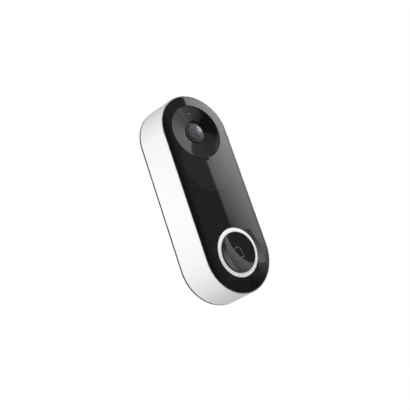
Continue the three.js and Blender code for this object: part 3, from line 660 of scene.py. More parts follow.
class DOORBELL_OT_dish(PieceOperator, bpy.types.Operator):
    """Model the camera's dish, its throat, its trim ring and the two light pipes"""

    bl_idname = "doorbell.dish"
    bl_label = "Camera dish"

    def build(self, sizes, colours):
        trim_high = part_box("lens_trim_ring")[1]
        dish_radius = BEZEL_HIGH[0] - sizes.dish_flange
        throat = trim_high[0] + 0.15 * MM
        throat_depth = FRONT + sizes.dish_depth
        back = BEZEL_HIGH[1]
        behind = PANEL_BACK + 0.2 * MM
        corners = [
            (throat, throat_depth, 0.15 * MM),
            (dish_radius, FRONT, 0.08 * MM),
            (dish_radius, behind, 0),
            (BEZEL_HIGH[0], behind, 0.1 * MM),
            (BEZEL_HIGH[0], behind + 0.8 * MM, 0.1 * MM),
            (dish_radius - 1.7 * MM, behind + 0.8 * MM, 0),
            (throat + 1.4 * MM, throat_depth + 1.5 * MM, 0),
            (throat + 1.4 * MM, back, 0.1 * MM),
            (throat, back, 0.1 * MM),
        ]
        dish = turned("camera_dish", rounded(corners, closed=True), closed=True, z=CAMERA_Z)
        gasket_low, gasket_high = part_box("mic_gasket")
        notch_x = (gasket_low[0] + gasket_high[0]) / 2
        notch_z = (gasket_low[2] + gasket_high[2]) / 2
        notch = turned(
            "cutter", [(1.8 * MM, PANEL_BACK + 0.05 * MM), (1.8 * MM, back)], PIN_ROUND, x=notch_x, z=notch_z
        )
        pipe_holes = [self.pipe_hole(node) for node in ("status_light_pipe", "daylight_pipe")]
        carve(dish, notch, DOORBELL_OT_panel.mic_slot(dish_radius), *pipe_holes)
        material = polished("dish_black", colours.dish, 0.07, 0.015, Specular_IOR_Level=0.2)
        finish_piece(dish, material, "satin_black", "doorbell", "camera_bezel", smooth=25)

        # Painted shade: a near-black matt sheet 0.25 mm inside the microphone's slot, standing in for the
        # shade deep in the slot.
        slot_shade = DOORBELL_OT_panel.mic_slot(dish_radius, "mic_cloth", FRONT + 0.25 * MM, PANEL_BACK + 0.3 * MM)
        finish_piece(slot_shade, rubbery("acoustic_cloth", (0.003, 0.003, 0.003)), "foam", "doorbell")

        collar = trim_high[0] - 0.1 * MM
        hug = trim_high[0] - 1.05 * MM
        ring_corners = [
            (hug, throat_depth - 0.9 * MM, 0.1 * MM),
            (hug + 0.2 * MM, throat_depth - 0.9 * MM, 0.1 * MM),
            (collar, throat_depth - 0.65 * MM, 0.15 * MM),
            (collar, trim_high[1], 0.1 * MM),
            (hug, trim_high[1], 0.1 * MM),
        ]
        ring = turned("trim_ring", rounded(ring_corners, closed=True), closed=True, z=CAMERA_Z)
        ring_material = moulded("collar_grey", colours.collar, 0.42, depth=0.001 * MM)
        finish_piece(ring, ring_material, "panel_black", "doorbell", "lens_trim_ring", smooth=25)

        clear = moulded("light_pipe", (0.3, 0.31, 0.32), 0.3, Transmission_Weight=0.2)
        lit = moulded("lit_pipe", (0.6, 0.61, 0.62), 0.3, Emission_Color=(1, 1, 1, 1), Emission_Strength=0.35)
        for node, pipe_material in (("status_light_pipe", lit), ("daylight_pipe", clear)):
            low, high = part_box(node)
            radius = (high[0] - low[0]) / 2
            profile = [(radius * 0.2, low[1], 0), (radius, low[1], 0.12 * MM), (radius, high[1], 0)]
            x, z = middle(low, high)
            pipe = turned(node + "_lens", rounded(profile), PIN_ROUND, x=x, z=z)
            finish_piece(pipe, pipe_material, "diffuser", "doorbell", node)

    @staticmethod
    def pipe_hole(node):
        """A cutter for the hole that a light pipe stands in."""
        low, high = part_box(node)
        radius = (high[0] - low[0]) / 2 + 0.06 * MM
        centre_x, centre_z = middle(low, high)
        profile = [(radius, FRONT - MM), (radius, BEZEL_HIGH[1])]
        return turned("cutter", profile, PIN_ROUND, x=centre_x, z=centre_z)


class DOORBELL_OT_lens(PieceOperator, bpy.types.Operator):
    """Model the lens barrel with its stepped baffle, and the domed front glass"""

    bl_idname = "doorbell.lens"
    bl_label = "Lens"

    def build(self, sizes, colours):
        barrel_low, barrel_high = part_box("lens_barrel")
        cover_low, cover_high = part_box("lens_cover")
        glass = cover_high[0] - 0.3 * MM
        outer = barrel_high[0]
        front, back = barrel_low[1], barrel_high[1]
        corners = [
            (glass + 0.06 * MM, front, 0.05 * MM),
            (outer - 0.15 * MM, front, 0.05 * MM),
            (outer, front + 0.15 * MM, 0.05 * MM),
            (outer, back, 0.1 * MM),
            (glass - 1.4 * MM, back, 0),
            (glass - 1.4 * MM, front + 5.4 * MM, 0),
            (glass - 0.4 * MM, front + 5.4 * MM, 0),
            (glass - 0.4 * MM, front + 1.1 * MM, 0),
            (glass + 0.06 * MM, front + 1.1 * MM, 0),
        ]
        barrel = turned("barrel", rounded(corners, closed=True), SMALL_ROUND, closed=True, z=CAMERA_Z)
        material = moulded("anodised_grey", colours.collar, 0.38, depth=0.001 * MM, darker=0.9)
        finish_piece(barrel, material, "satin_black", "doorbell", "lens_barrel", smooth=25)
        self.baffle(glass, front)
        self.dome(glass, cover_low[1], front, cover_high[1], colours)

    @staticmethod
    def baffle(glass, front):
        """The stepped ring under the front glass, which stops stray light."""
        steps = 5
        width = 0.62 * MM
        drop = 0.22 * MM
        outer = glass - 0.5 * MM
        corners = []
        for step in range(steps):
            radius = outer - step * width
            depth = front + 1.25 * MM + step * drop
            corners.append((radius, depth, 0.04 * MM))
            corners.append((radius - width + 0.04 * MM, depth + 0.05 * MM, 0.04 * MM))
        corners.append((outer - steps * width, front + 2.45 * MM, 0))
        corners.append((outer, front + 2.45 * MM, 0))
        ring = turned("baffle", rounded(corners, closed=True, steps=3), SMALL_ROUND, closed=True, z=CAMERA_Z)
        material = moulded("baffle_grey", (0.1, 0.094, 0.115), 0.4, depth=0.001 * MM, darker=0.8)
        finish_piece(ring, material, "satin_black", "doorbell", smooth=20)

    @staticmethod
    def dome(radius, top, edge, back, colours):
        """The front glass: a dome with a ground edge and a hollow back."""
        steps = 14
        rim = edge - 0.1 * MM
        rise = rim - top
        ball = (radius ** 2 + rise ** 2) / (2 * rise)
        profile = []
        for step in range(steps + 1):
            r = radius * step / steps
            profile.append((r, top + ball - math.sqrt(ball ** 2 - r ** 2)))
        profile.append((radius, back - 0.15 * MM))
        profile.append((radius - 0.15 * MM, back))
        hollow = 0.35 * MM
        for step in range(steps, -1, -1):
            r = (radius - 0.6 * MM) * step / steps
            profile.append((r, back - hollow * (1 - (step / steps) ** 2)))
        glass = turned("front_glass", profile, SMALL_ROUND, z=CAMERA_Z)
        material = coated_glass("coated_glass", colours.lens, 0.2)
        finish_piece(glass, material, "lens_glass", "doorbell", "lens_cover", smooth=40)


class DOORBELL_OT_button(PieceOperator, bpy.types.Operator):
    """Model the light ring, the dished call button and its bell icon"""

    bl_idname = "doorbell.button"
    bl_label = "Call button"

    def build(self, sizes, colours):
        self.ring(sizes, colours)
        self.cap(sizes, colours)
        self.icon(sizes, colours)

    @staticmethod
    def ring(sizes, colours):
        inner = sizes.cap_radius + 0.15 * MM
        outer = RING_HIGH[0] - sizes.ring_flange - 0.12 * MM
        front, back = RING_LOW[1], RING_HIGH[1]
        behind = PANEL_BACK + 0.2 * MM
        corners = [
            (inner, front, 0.25 * MM),
            (outer, front, 0.15 * MM),
            (outer, behind, 0),
            (RING_HIGH[0], behind, 0.1 * MM),
            (RING_HIGH[0], back, 0.1 * MM),
            (inner, back, 0.1 * MM),
        ]
        ring = turned("frosted_ring", rounded(corners, closed=True), closed=True, z=BUTTON_Z)
        surface = Surface(
            "frosted_white", colours.ring, 0.35, Subsurface_Weight=0.15, Subsurface_Scale=0.5 * MM,
            Emission_Color=(1, 1, 0.99, 1),
        )
        # Emission: the lit ring's faint glow, raised as painted light to brighten the ring, and stronger
        # toward its top as painted light from above.
        glow_and_painted_light = surface.ranged(surface.height(), 0.32, 0.56, BUTTON_Z, BUTTON_Z + outer)
        surface.link(glow_and_painted_light, surface.shader.inputs["Emission Strength"])
        surface.vary_roughness(surface.noise(1.5 * MM, 4), 0.08)
        surface.vary_colour(surface.noise(5 * MM), 0.97)
        surface.bump(surface.noise(0.12 * MM), 0.003 * MM)
        finish_piece(ring, surface.material, "diffuser", "doorbell", "light_ring", smooth=30)

    @staticmethod
    def face_depth(radius, sizes):
        """Depth of the button's dished face at a distance from its middle."""
        return CAP_LOW[1] + sizes.cap_hollow * (1 - (radius / sizes.cap_radius) ** 2)

    def cap(self, sizes, colours):
        radius = sizes.cap_radius
        steps = 16
        flat = radius - sizes.cap_round
        radii = [flat * step / steps for step in range(steps)]
        profile = [(radius, self.face_depth(radius, sizes)) for radius in radii]
        edge = [
            (flat - MM, self.face_depth(flat - MM, sizes), 0),
            (radius, CAP_LOW[1] - 0.02 * MM, sizes.cap_round),
            (radius, CAP_HIGH[1] - 0.9 * MM, 0),
            (CAP_HIGH[0], CAP_HIGH[1] - 0.8 * MM, 0.1 * MM),
            (CAP_HIGH[0], CAP_HIGH[1], 0.1 * MM),
            (radius - 1.2 * MM, CAP_HIGH[1], 0),
            (radius - 1.2 * MM, FRONT + 0.9 * MM, 0.2 * MM),
            (2 * MM, FRONT + 0.9 * MM, 0.2 * MM),
            (2 * MM, CAP_HIGH[1] - 1.45 * MM, 0.1 * MM),
            (0, CAP_HIGH[1] - 1.45 * MM, 0),
        ]
        profile = [point for point in profile if point[0] < flat - MM] + rounded(edge)
        cap = turned("call_button", profile, z=BUTTON_Z)
        material = polished("button_black", colours.cap, 0.03, 0.015)
        finish_piece(cap, material, "panel_black", "button", "button_cap", smooth=30)

    def icon(self, sizes, colours):
        """A plain bell in outline, inlaid in the middle of the button."""
        bell = self.bell_outline()
        clapper = [(1.2 * math.cos(a), -2.95 + 0.85 * math.sin(a)) for a in self.arc(180, 360, 8)]
        knob = [(0.5 * math.cos(a), 4.1 + 0.45 * math.sin(a)) for a in self.arc(200, -20, 8)]
        lines = [
            self.line("bell_body", bell, True, sizes),
            self.line("bell_clapper", clapper, False, sizes),
            self.line("bell_knob", knob, False, sizes),
        ]
        icon = merge(*lines)
        icon.name = "bell_icon"
        material = moulded("icon_grey", colours.icon, 0.3, grain=0.1 * MM, depth=0.001 * MM)
        finish_piece(icon, material, "diffuser", "button")

    @staticmethod
    def arc(first, last, steps):
        """Angles in radians between two angles in degrees."""
        return [math.radians(first + (last - first) * step / steps) for step in range(steps + 1)]

    def bell_outline(self):
        """The bell's body, in mm across and up from the middle of the button."""
        crown = [(3.0 * math.cos(a), 0.9 + 3.0 * math.sin(a)) for a in self.arc(0, 180, 14)]
        left_skirt = [(-3.05, -0.9), (-3.2, -1.6), (-3.75, -2.35), (-3.6, -2.7)]
        right_skirt = [(-across, up) for across, up in reversed(left_skirt)]
        return crown + left_skirt + right_skirt

    def line(self, name, points, closed, sizes):
        """A round line along points, sunk into the dished face."""
        start()
        bpy.ops.mesh.primitive_circle_add(vertices=len(points), radius=MM, fill_type="NOTHING")
        path = named(name)
        sink = 0.1 * MM
        for vertex, (across, up) in zip(path.data.vertices, points):
            x, z = across * MM, up * MM - sizes.icon_drop
            vertex.co = (x, self.face_depth(math.hypot(x, z), sizes) + sink, BUTTON_Z + z)
        if not closed:
            bpy.ops.object.mode_set(mode="EDIT")
            last = len(points) - 1
            select_in_edit(path, lambda edge: {v.index for v in edge.verts} == {0, last}, "edges")
            bpy.ops.mesh.delete(type="EDGE")
            bpy.ops.object.mode_set(mode="OBJECT")
        bpy.ops.object.convert(target="CURVE")
        curve = bpy.context.object
        curve.data.bevel_depth = math.hypot(sizes.icon_line / 2, sink)
        curve.data.bevel_resolution = 4
        curve.data.use_fill_caps = True
        bpy.ops.object.convert(target="MESH")
        return bpy.context.object


class DOORBELL_OT_back(PieceOperator, bpy.types.Operator):
    """Model the rear cover, with its keyhole pockets and openings"""

    bl_idname = "doorbell.back"
    bl_label = "Rear cover"

    def build(self, sizes, colours):
        back = COVER_HIGH[1]
        edge = back - 1.2 * MM
        outer = COVER_HIGH[0]
        plate_front = back - 2 * MM
        lip_front = plate_front - 1.6 * MM
        lip = 25.3 * MM
        corners = [
            (lip - 3 * MM, plate_front, 0),
            (lip - 1.4 * MM, plate_front, 0.2 * MM),
            (lip - 1.4 * MM, lip_front, 0.1 * MM),
            (lip, lip_front, 0.2 * MM),
            (lip, edge, 0),
            (outer - 0.16 * MM, edge, 0.15 * MM),
            (outer, back, 0.4 * MM),
            (outer - 3 * MM, back, 0),
        ]
        cover = turned("back_cover", rounded(corners), spread=SPREAD)
        carve(cover, *self.pocket_walls(), operation="UNION")
        carve(cover, *self.openings())
        material = moulded("back_black", colours.back, 0.42, grain=0.35 * MM, depth=0.012 * MM, darker=0.85)
        finish_piece(cover, material, "satin_black", "doorbell", "rear_cover", smooth=30)

    @staticmethod
    def hooks():
        """Middles of the bracket's four hooks."""
        across = 10 * MM
        return [(x, z) for x in (-across, across) for z in (CAMERA_Z + 1.2 * MM, BUTTON_Z + 4.8 * MM)]

    def pocket_walls(self):
        """Blocks that hold the keyholes' pockets, inside the cover."""
        back = COVER_HIGH[1]
        half = 4.7 * MM
        travel = 7 * MM
        for x, z in self.hooks():
            low = (x - half, COVER_LOW[1], z - travel - half)
            high = (x + half, back - 1.5 * MM, z + half)
            yield block("wall", low, high, 0.8 * MM)

    def openings(self):
        """Cutters for the keyholes, screws, port, buttons and latch."""
        back = COVER_HIGH[1]
        out = back + MM
        travel = 7 * MM
        half = 3.7 * MM
        slot = 1.8 * MM
        for x, z in self.hooks():
            low = (x - half, COVER_LOW[1] + MM, z - travel - half)
            high = (x + half, back - 1.6 * MM, z + half)
            yield block("cutter", low, high, 0.5 * MM)
            low = (x - slot, back - 3 * MM, z - travel)
            high = (x + slot, out, z + slot)
            yield block("cutter", low, high, 0.98 * slot, 8)
            wide = 3.5 * MM
            lip = 0.3 * MM
            entry = [(wide, back - 3 * MM), (wide, back - lip), (wide + lip, back), (wide + lip, out)]
            yield turned("cutter", entry, SMALL_ROUND, x=x, z=z - travel)
        for number in range(1, 5):
            low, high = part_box(f"cover_screw_{number}")
            x, z = middle(low, high)
            sunk = [(1.3 * MM, back - 4 * MM), (1.3 * MM, back - 1.5 * MM), (2.3 * MM, back - 1.5 * MM),
                    (2.3 * MM, back - 0.2 * MM), (2.5 * MM, back), (2.5 * MM, out)]
            yield turned("cutter", sunk, PIN_ROUND, x=x, z=z)
        low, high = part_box("usb_cover")
        gap = 0.3 * MM
        yield self.opening(low, high, gap, back - 1.4 * MM, out, 1.8 * MM)
        low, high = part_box("usb_port")
        yield self.opening(low, high, gap, back - 4 * MM, out, 1.5 * MM)
        for node, radius in (("reset_button", 1.7 * MM), ("tamper_pin", 1.8 * MM)):
            low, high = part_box(node)
            x, z = middle(low, high)
            bore = [(radius, back - 4 * MM), (radius, back - 0.25 * MM), (radius + 0.25 * MM, back),
                    (radius + 0.25 * MM, out)]
            yield turned("cutter", bore, PIN_ROUND, x=x, z=z)
        catch = 3.4 * MM
        catch_z = BUTTON_Z - 3.7 * MM
        low = (-catch, back - 1.2 * MM, catch_z - 2 * MM)
        high = (catch, out, catch_z + 2 * MM)
        yield block("cutter", low, high, 0.4 * MM)

    @staticmethod
    def opening(low, high, gap, inner, outer, corner):
        """A cutter around a box, with a gap, between two depths."""
        near = (low[0] - gap, inner, low[2] - gap)
        far = (high[0] + gap, outer, high[2] + gap)
        return block("cutter", near, far, corner)


class DOORBELL_OT_bracket(PieceOperator, bpy.types.Operator):
    """Model the wall bracket with its hooks, windows and screw holes, and the opening for the release latch
    """

    bl_idname = "doorbell.bracket"
    bl_label = "Wall bracket"

    def build(self, sizes, colours):
        low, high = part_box("wall_bracket")
        radius = high[0]
        spread = high[2] - radius
        plate = 2 * MM
        corners = [
            (radius - 2 * MM, -plate, 0),
            (radius, -plate, 0.3 * MM),
            (radius, 0, 0.15 * MM),
            (radius - 2 * MM, 0, 0),
        ]
        bracket = turned("hanging_plate", rounded(corners, steps=4), spread=spread)
        carve(bracket, *self.hooks(low[1], plate), operation="UNION")
        carve(bracket, *self.openings(radius, spread, plate))
        grain = {"grain": 0.3 * MM, "depth": 0.01 * MM}
        material = moulded("bracket_black", colours.bracket, 0.5, darker=0.85, **grain)
        finish_piece(bracket, material, "satin_black", "bracket", "wall_bracket", smooth=30)

    @staticmethod
    def hooks(tip, plate):
        """The mushroom-headed hooks that the doorbell hangs on."""
        stem, head, thickness = 1.5 * MM, 3 * MM, 1.5 * MM
        corners = [
            (stem + 0.6 * MM, -plate + 0.5 * MM, 0),
            (stem + 0.3 * MM, -plate, 0),
            (stem, -plate - 0.3 * MM, 0),
            (stem, tip + thickness, 0.1 * MM),
            (head, tip + thickness, 0.15 * MM),
            (head, tip, 0.4 * MM),
            (0, tip, 0),
        ]
        for x, z in DOORBELL_OT_back.hooks():
            yield turned("hook", rounded(corners, steps=3), PIN_ROUND, x=x, z=z)

    @staticmethod
    def openings(radius, spread, plate):
        """Cutters for the countersunk wall screws, the side windows and the latch."""
        front, out = -plate - MM, MM
        for z in (spread + 3 * MM, -spread + 13 * MM):
            sunk = [(4 * MM, front), (4 * MM, -plate), (2.2 * MM, -0.6 * MM), (2.2 * MM, out)]
            yield turned("cutter", sunk, SMALL_ROUND, z=z)
        for side in (-1, 1):
            x = side * (radius - 5.6 * MM)
            low = (x - 3 * MM, front, -15 * MM)
            high = (x + 3 * MM, out, 19 * MM)
            yield block("cutter", low, high, 2.9 * MM, 8)
        half = 3.2 * MM
        catch_z = BUTTON_Z - 3.7 * MM
        low = (-half, front, catch_z - 3.4 * MM)
        high = (half, out, catch_z + 9 * MM)
        yield block("cutter", low, high, 0.5 * MM)


class DOORBELL_OT_back_controls(PieceOperator, bpy.types.Operator):
    """Model the port's rubber cover, the reset button, the tamper pin and the cover screws"""

    bl_idname = "doorbell.back_controls"
    bl_label = "Controls and screws at the back"

    def build(self, sizes, colours):
        rubber = rubbery("flap_rubber", colours.rubber)
        self.flap(rubber)
        pin_material = moulded("pin_grey", (0.12, 0.125, 0.13), 0.45)
        for node, body in (("reset_button", "reset"), ("tamper_pin", "tamper")):
            self.pin(node, body, pin_material)
        self.screws(brushed("screw_steel", (0.5, 0.51, 0.53), 0.28, (0.2, 1, 1)))

    @staticmethod
    def flap(material):
        """The rubber cover: a cushioned lid, its plug and a ribbed pull tab."""
        low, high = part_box("usb_cover")
        back = COVER_HIGH[1] - 0.1 * MM
        lid = block("port_flap", (low[0], back - 1.2 * MM, low[2]), (high[0], back, high[2]), 1.5 * MM)
        bpy.ops.object.mode_set(mode="EDIT")
        select_in_edit(lid, lambda edge: all(v.co.y > back - 1e-6 for v in edge.verts), "edges")
        bpy.ops.mesh.bevel(offset=0.35 * MM, segments=4, affect="EDGES")
        bpy.ops.object.mode_set(mode="OBJECT")
        middle_z = (low[2] + high[2]) / 2
        port_low, port_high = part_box("usb_port")
        plug = block(
            "plug",
            (port_low[0] + 0.7 * MM, low[1], port_low[2] + 0.45 * MM),
            (port_high[0] - 0.7 * MM, back - 0.8 * MM, port_high[2] - 0.45 * MM),
            MM,
        )
        ribs = []
        for index in range(3):
            x = low[0] + (1.1 + 0.65 * index) * MM
            rib_low = (x - 0.17 * MM, back - 0.5 * MM, middle_z - (2 + 0.2 * index) * MM)
            rib_high = (x + 0.17 * MM, back + 0.25 * MM, middle_z + (2 + 0.2 * index) * MM)
            rib = block("rib", rib_low, rib_high, 0.15 * MM, 3)
            ribs.append(rib)
        carve(lid, plug, *ribs, operation="UNION")
        finish_piece(lid, material, "rubber_black", "port_cover", "usb_cover", smooth=35)

    @staticmethod
    def pin(node, body, material):
        """A push pin with a collar that keeps it in the cover."""
        low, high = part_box(node)
        collar_radius = (high[0] - low[0]) / 2 + 0.04 * MM
        radius = collar_radius - MM
        collar = COVER_HIGH[1] - 2.3 * MM
        corners = [
            (0, low[1], 0),
            (radius, low[1], 0.2 * MM),
            (radius, collar - MM, 0),
            (collar_radius, collar - MM, 0.12 * MM),
            (collar_radius, collar, 0.12 * MM),
            (radius, collar, 0),
            (radius, high[1], 0.4 * MM),
            (0, high[1], 0),
        ]
        x, z = middle(low, high)
        pin = turned(node + "_pin", rounded(corners, steps=4), PIN_ROUND, x=x, z=z)
        finish_piece(pin, material, "frame_grey", body, node)

    @staticmethod
    def screws(material):
        """One cross-head screw, and its three copies."""
        first_low, first_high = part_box("cover_screw_1")
        x, z = (first_low[0] + first_high[0]) / 2, (first_low[2] + first_high[2]) / 2
        head = first_high[1]
        tip = first_low[1]
        corners = [
            (0, tip, 0),
            (0.55 * MM, tip, 0.1 * MM),
            (MM, tip + 0.7 * MM, 0.1 * MM),
            (MM, head - 1.2 * MM, 0.15 * MM),
            (1.9 * MM, head - 0.3 * MM, 0.1 * MM),
            (1.9 * MM, head, 0.15 * MM),
            (0, head + 0.02 * MM, 0),
        ]
        screw = turned("screw_1", rounded(corners, steps=4), PIN_ROUND, x=x, z=z)
        arm, half = 1.15 * MM, 0.27 * MM
        deep, out = head - 0.7 * MM, head + MM
        corner = 0.12 * MM
        across = block("cutter", (x - arm, deep, z - half), (x + arm, out, z + half), corner, 3)
        down = block("cutter", (x - half, deep, z - arm), (x + half, out, z + arm), corner, 3)
        carve(screw, across, down)
        copies = [screw]
        for number in (2, 3, 4):
            low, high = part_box(f"cover_screw_{number}")
            move = ((low[0] + high[0]) / 2 - x, 0, (low[2] + high[2]) / 2 - z)
            copies.append(copied(screw, f"screw_{number}", move))
        for number, piece in enumerate(copies, start=1):
            finish_piece(piece, material, "steel", "doorbell", f"cover_screw_{number}", smooth=30)


class DOORBELL_OT_inner_finishes(PieceOperator, bpy.types.Operator):
    """Give every piece that keeps its frame mesh its own finish"""

    bl_idname = "doorbell.inner_finishes"
    bl_label = "Finishes of the inner pieces"

    def build(self, sizes, colours):
        finishes = {
            "satin_black": moulded("inner_black", (0.022, 0.022, 0.023), 0.45, depth=0.01 * MM, darker=0.85),
            "smoked": polished("filter_glass", (0.05, 0.03, 0.05), 0.05),
            "lens_glass": coated_glass("element_glass", (0.1, 0.08, 0.14)),
            "diffuser": moulded("milky_plastic", (0.8, 0.79, 0.75), 0.4),
            "rubber_black": rubbery("seal_rubber", colours.rubber),
            "frame_grey": moulded("frame_grey", (0.12, 0.125, 0.13), 0.5, depth=0.01 * MM, darker=0.9),
            "circuit_board": board_finish("board_green", (0.015, 0.09, 0.04)),
            "chip_black": moulded("chip_black", (0.02, 0.021, 0.023), 0.5, depth=0.008 * MM, darker=0.8),
            "tin_plate": brushed("tin_plate", (0.6, 0.61, 0.63), 0.3),
            "steel": brushed("spring_steel", (0.5, 0.51, 0.53), 0.3),
            "cell_wrap": polished("cell_wrap", (0.42, 0.45, 0.5), 0.3, 0.06),
            "foam": woven("foam_and_mesh", (0.045, 0.045, 0.048), 0.85),
            "lens_sheet": woven("fresnel_sheet", (0.16, 0.16, 0.17), 0.5, 0.8 * MM),
            "flex_amber": polished("amber_film", (0.4, 0.15, 0.03), 0.3, 0.06, Coat_Weight=0.4),
            "wire_red": moulded("red_sleeve", (0.5, 0.02, 0.02), 0.4),
            "wire_black": moulded("black_sleeve", (0.015, 0.015, 0.015), 0.4),
            "led": moulded("led_phosphor", (0.9, 0.82, 0.4), 0.25, Coat_Weight=0.6),
        }
        slots = {part["node"]: part["material_slot"] for part in frame["record"]["subparts"]}
        for node, piece in frame["nodes"].items():
            material = finishes.get(slots[node])
            if material is None:
                continue
            for slot in piece.material_slots:
                slot.material = material


# ------------------------------------------------------------------ floor, lights and camera

class DOORBELL_OT_stage(bpy.types.Operator):
    """Set up the pale floor, the soft lights and the camera"""

    bl_idname = "doorbell.stage"
    bl_label = "Stage and camera"

    def execute(self, context):
        studio = context.scene.doorbell_studio
        context.scene.view_settings.view_transform = "Standard"
        self.floor()
        self.surroundings(context.scene, studio)
        self.main_card(studio)
        self.upper_card(studio)
        self.strip(studio)
        self.dish_card(studio)
        self.button_cards(studio)
        self.dark_card(studio)
        self.side_lights(studio)
        self.camera(context.scene, studio)
        return {"FINISHED"}

    @staticmethod
    def emitter(name, strength_node):
        """A material that gives off light, whose strength a node may set."""
        material = bpy.data.materials.new(name)
        material.use_nodes = True
        tree = material.node_tree
        tree.nodes.clear()
        output = tree.nodes.new("ShaderNodeOutputMaterial")
        light = tree.nodes.new("ShaderNodeEmission")
        tree.links.new(light.outputs[0], output.inputs["Surface"])
        strength_node(tree, light)
        return material

    @staticmethod
    def card(name, corners):
        """A flat many-cornered sheet of the studio."""
        start()
        bpy.ops.mesh.primitive_circle_add(vertices=len(corners), radius=1, fill_type="NGON")
        sheet = named(name)
        for vertex, corner in zip(sheet.data.vertices, corners):
            vertex.co = corner
        return sheet

    def floor(self):
        """A plain pale floor, well below the doorbell."""
        half, level = 6.0, -0.55
        corners = [(-half, -half, level), (half, -half, level), (half, half, level), (-half, half, level)]
        floor = self.card("pale_floor", corners)

        def strength(tree, light):
            path = tree.nodes.new("ShaderNodeLightPath")
            mix = tree.nodes.new("ShaderNodeMapRange")
            mix.inputs["To Min"].default_value = 0.6
            mix.inputs["To Max"].default_value = 1.0
            tree.links.new(path.outputs["Is Camera Ray"], mix.inputs["Value"])
            tree.links.new(mix.outputs["Result"], light.inputs["Strength"])

        floor.data.materials.append(self.emitter("pale_floor", strength))
        floor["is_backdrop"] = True

    @staticmethod
    def surroundings(scene, studio):
        """White behind the doorbell, and an even dimmer light around it."""
        world = bpy.data.worlds.new("studio")
        scene.world = world
        world.use_nodes = True
        tree = world.node_tree
        background = tree.nodes["Background"]
        background.inputs["Color"].default_value = (1, 1, 1, 1)
        path = tree.nodes.new("ShaderNodeLightPath")
        mix = tree.nodes.new("ShaderNodeMapRange")
        mix.inputs["To Min"].default_value = studio.ambient
        mix.inputs["To Max"].default_value = 1.0
        tree.links.new(path.outputs["Is Camera Ray"], mix.inputs["Value"])
        tree.links.new(mix.outputs["Result"], background.inputs["Strength"])

    @staticmethod
    def ramp(tree, value, start, stop, low, high):
        """A value that runs from low to high while another runs from start to stop."""
        node = tree.nodes.new("ShaderNodeMapRange")
        node.inputs["From Min"].default_value = start
        node.inputs["From Max"].default_value = stop
        node.inputs["To Min"].default_value = low
        node.inputs["To Max"].default_value = high
        tree.links.new(value, node.inputs["Value"])
        return node.outputs["Result"]

    @staticmethod
    def maths(tree, operation, first, second):
        """Two values, or a value and a number, combined."""
        node = tree.nodes.new("ShaderNodeMath")
        node.operation = operation
        tree.links.new(first, node.inputs[0])
        if isinstance(second, (int, float)):
            node.inputs[1].default_value = second
        else:
            tree.links.new(second, node.inputs[1])
        return node.outputs[0]

    @staticmethod
    def place(tree):
        """Where a point of a card lies, across and up."""
        coordinates = tree.nodes.new("ShaderNodeTexCoord")
        split = tree.nodes.new("ShaderNodeSeparateXYZ")
        tree.links.new(coordinates.outputs["Object"], split.inputs[0])
        return split.outputs["X"], split.outputs["Z"]

    def hang(self, card, strength):
        """Gives a card its light, and hides it from the camera itself."""
        card.data.materials.append(self.emitter(card.name, strength))
        card.visible_camera = False
        card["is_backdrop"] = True

    @staticmethod
    def card_seam():
        """The edge between the large card and the upper one, from left to right."""
        steps = 8
        runs = [(SEAM_RIGHT - SEAM_LEFT) * step / steps for step in range(steps + 1)]
        return [(SEAM_LEFT + run, SEAM_LOW + SEAM_RISE * run + SEAM_BEND * run ** 2) for run in runs]

    def main_card(self, studio):
        """The large card on the right, whose left edge the panel mirrors along its middle line."""
        outline = [(0.4255, 0.03), (0.4255, -0.1), (SEAM_RIGHT, -0.1), *reversed(self.card_seam())]
        card = self.card("main_card", [(x, CARD_DEPTH, z) for x, z in outline])

        def strength(tree, light):
            across, up = self.place(tree)
            climb = self.ramp(tree, up, -0.1, 0.36, 0, 1)
            curve = self.maths(tree, "POWER", climb, 1.3)
            height = self.maths(tree, "MULTIPLY", curve, studio.main_card)
            side = self.ramp(tree, across, 0.427, 0.496, 0, studio.main_card_side)
            faded = self.maths(tree, "MULTIPLY", side, self.ramp(tree, up, -0.1, 0, 0, 1))
            total = self.maths(tree, "ADD", height, faded)
            outer = self.ramp(tree, across, 0.5, 0.52, 1, 0.62)
            tree.links.new(self.maths(tree, "MULTIPLY", total, outer), light.inputs["Strength"])

        self.hang(card, strength)

    def upper_card(self, studio):
        """The dimmer card above, which the lower half of the dish mirrors."""
        outline = [(0.1, 0.14), (0.36, 0.355), *self.card_seam(), (SEAM_RIGHT, 0.9), (0.1, 0.9)]
        card = self.card("upper_card", [(x, CARD_DEPTH, z) for x, z in outline])

        def strength(tree, light):
            light.inputs["Strength"].default_value = studio.upper_card

        self.hang(card, strength)

    def strip(self, studio):
        """The narrow light far to the right, which glints in the lens."""
        across, near, far = 0.6, -0.12, 0.02
        low, high = 0.22, 0.56
        corners = [(across, near, low), (across, far, low), (across, far, high), (across, near, high)]
        card = self.card("strip_light", corners)

        def strength(tree, light):
            light.inputs["Strength"].default_value = studio.strip

        self.hang(card, strength)

    def dish_card(self, studio):
        """A small card close in front of the dish, which brightens the dish's upper side."""
        depth = -0.09
        outline = [(0.0372, 0.0548), (0.0565, 0.0548), (0.0565, 0.07), (0.048, 0.07), (0.0455, 0.0645)]
        card = self.card("dish_card", [(x, depth, z) for x, z in outline])

        def strength(tree, light):
            across, up = self.place(tree)
            level = self.ramp(tree, across, 0.041, 0.0545, 0.4, 1)
            tree.links.new(self.maths(tree, "MULTIPLY", level, studio.dish_card), light.inputs["Strength"])

        self.hang(card, strength)

    def button_cards(self, studio):
        """A bright and a dark card close in front of the button, whose seam the button mirrors."""
        depth = -0.1
        left, right, top, bend = 0.0501, 0.0826, -0.0314, 12.28
        steps = 8
        seam = []
        for step in range(steps + 1):
            x = left + (right - left) * step / steps
            seam.append((x, top - bend * (x - 0.048) ** 2))
        bright = [
            *seam, (0.085, -0.052), (0.0925, -0.052), (0.0925, -0.036), (0.0867, -0.02), (left, -0.02),
        ]
        dark = [*seam, (0.0826, -0.058), (0.044, -0.058), (0.044, -0.0315)]

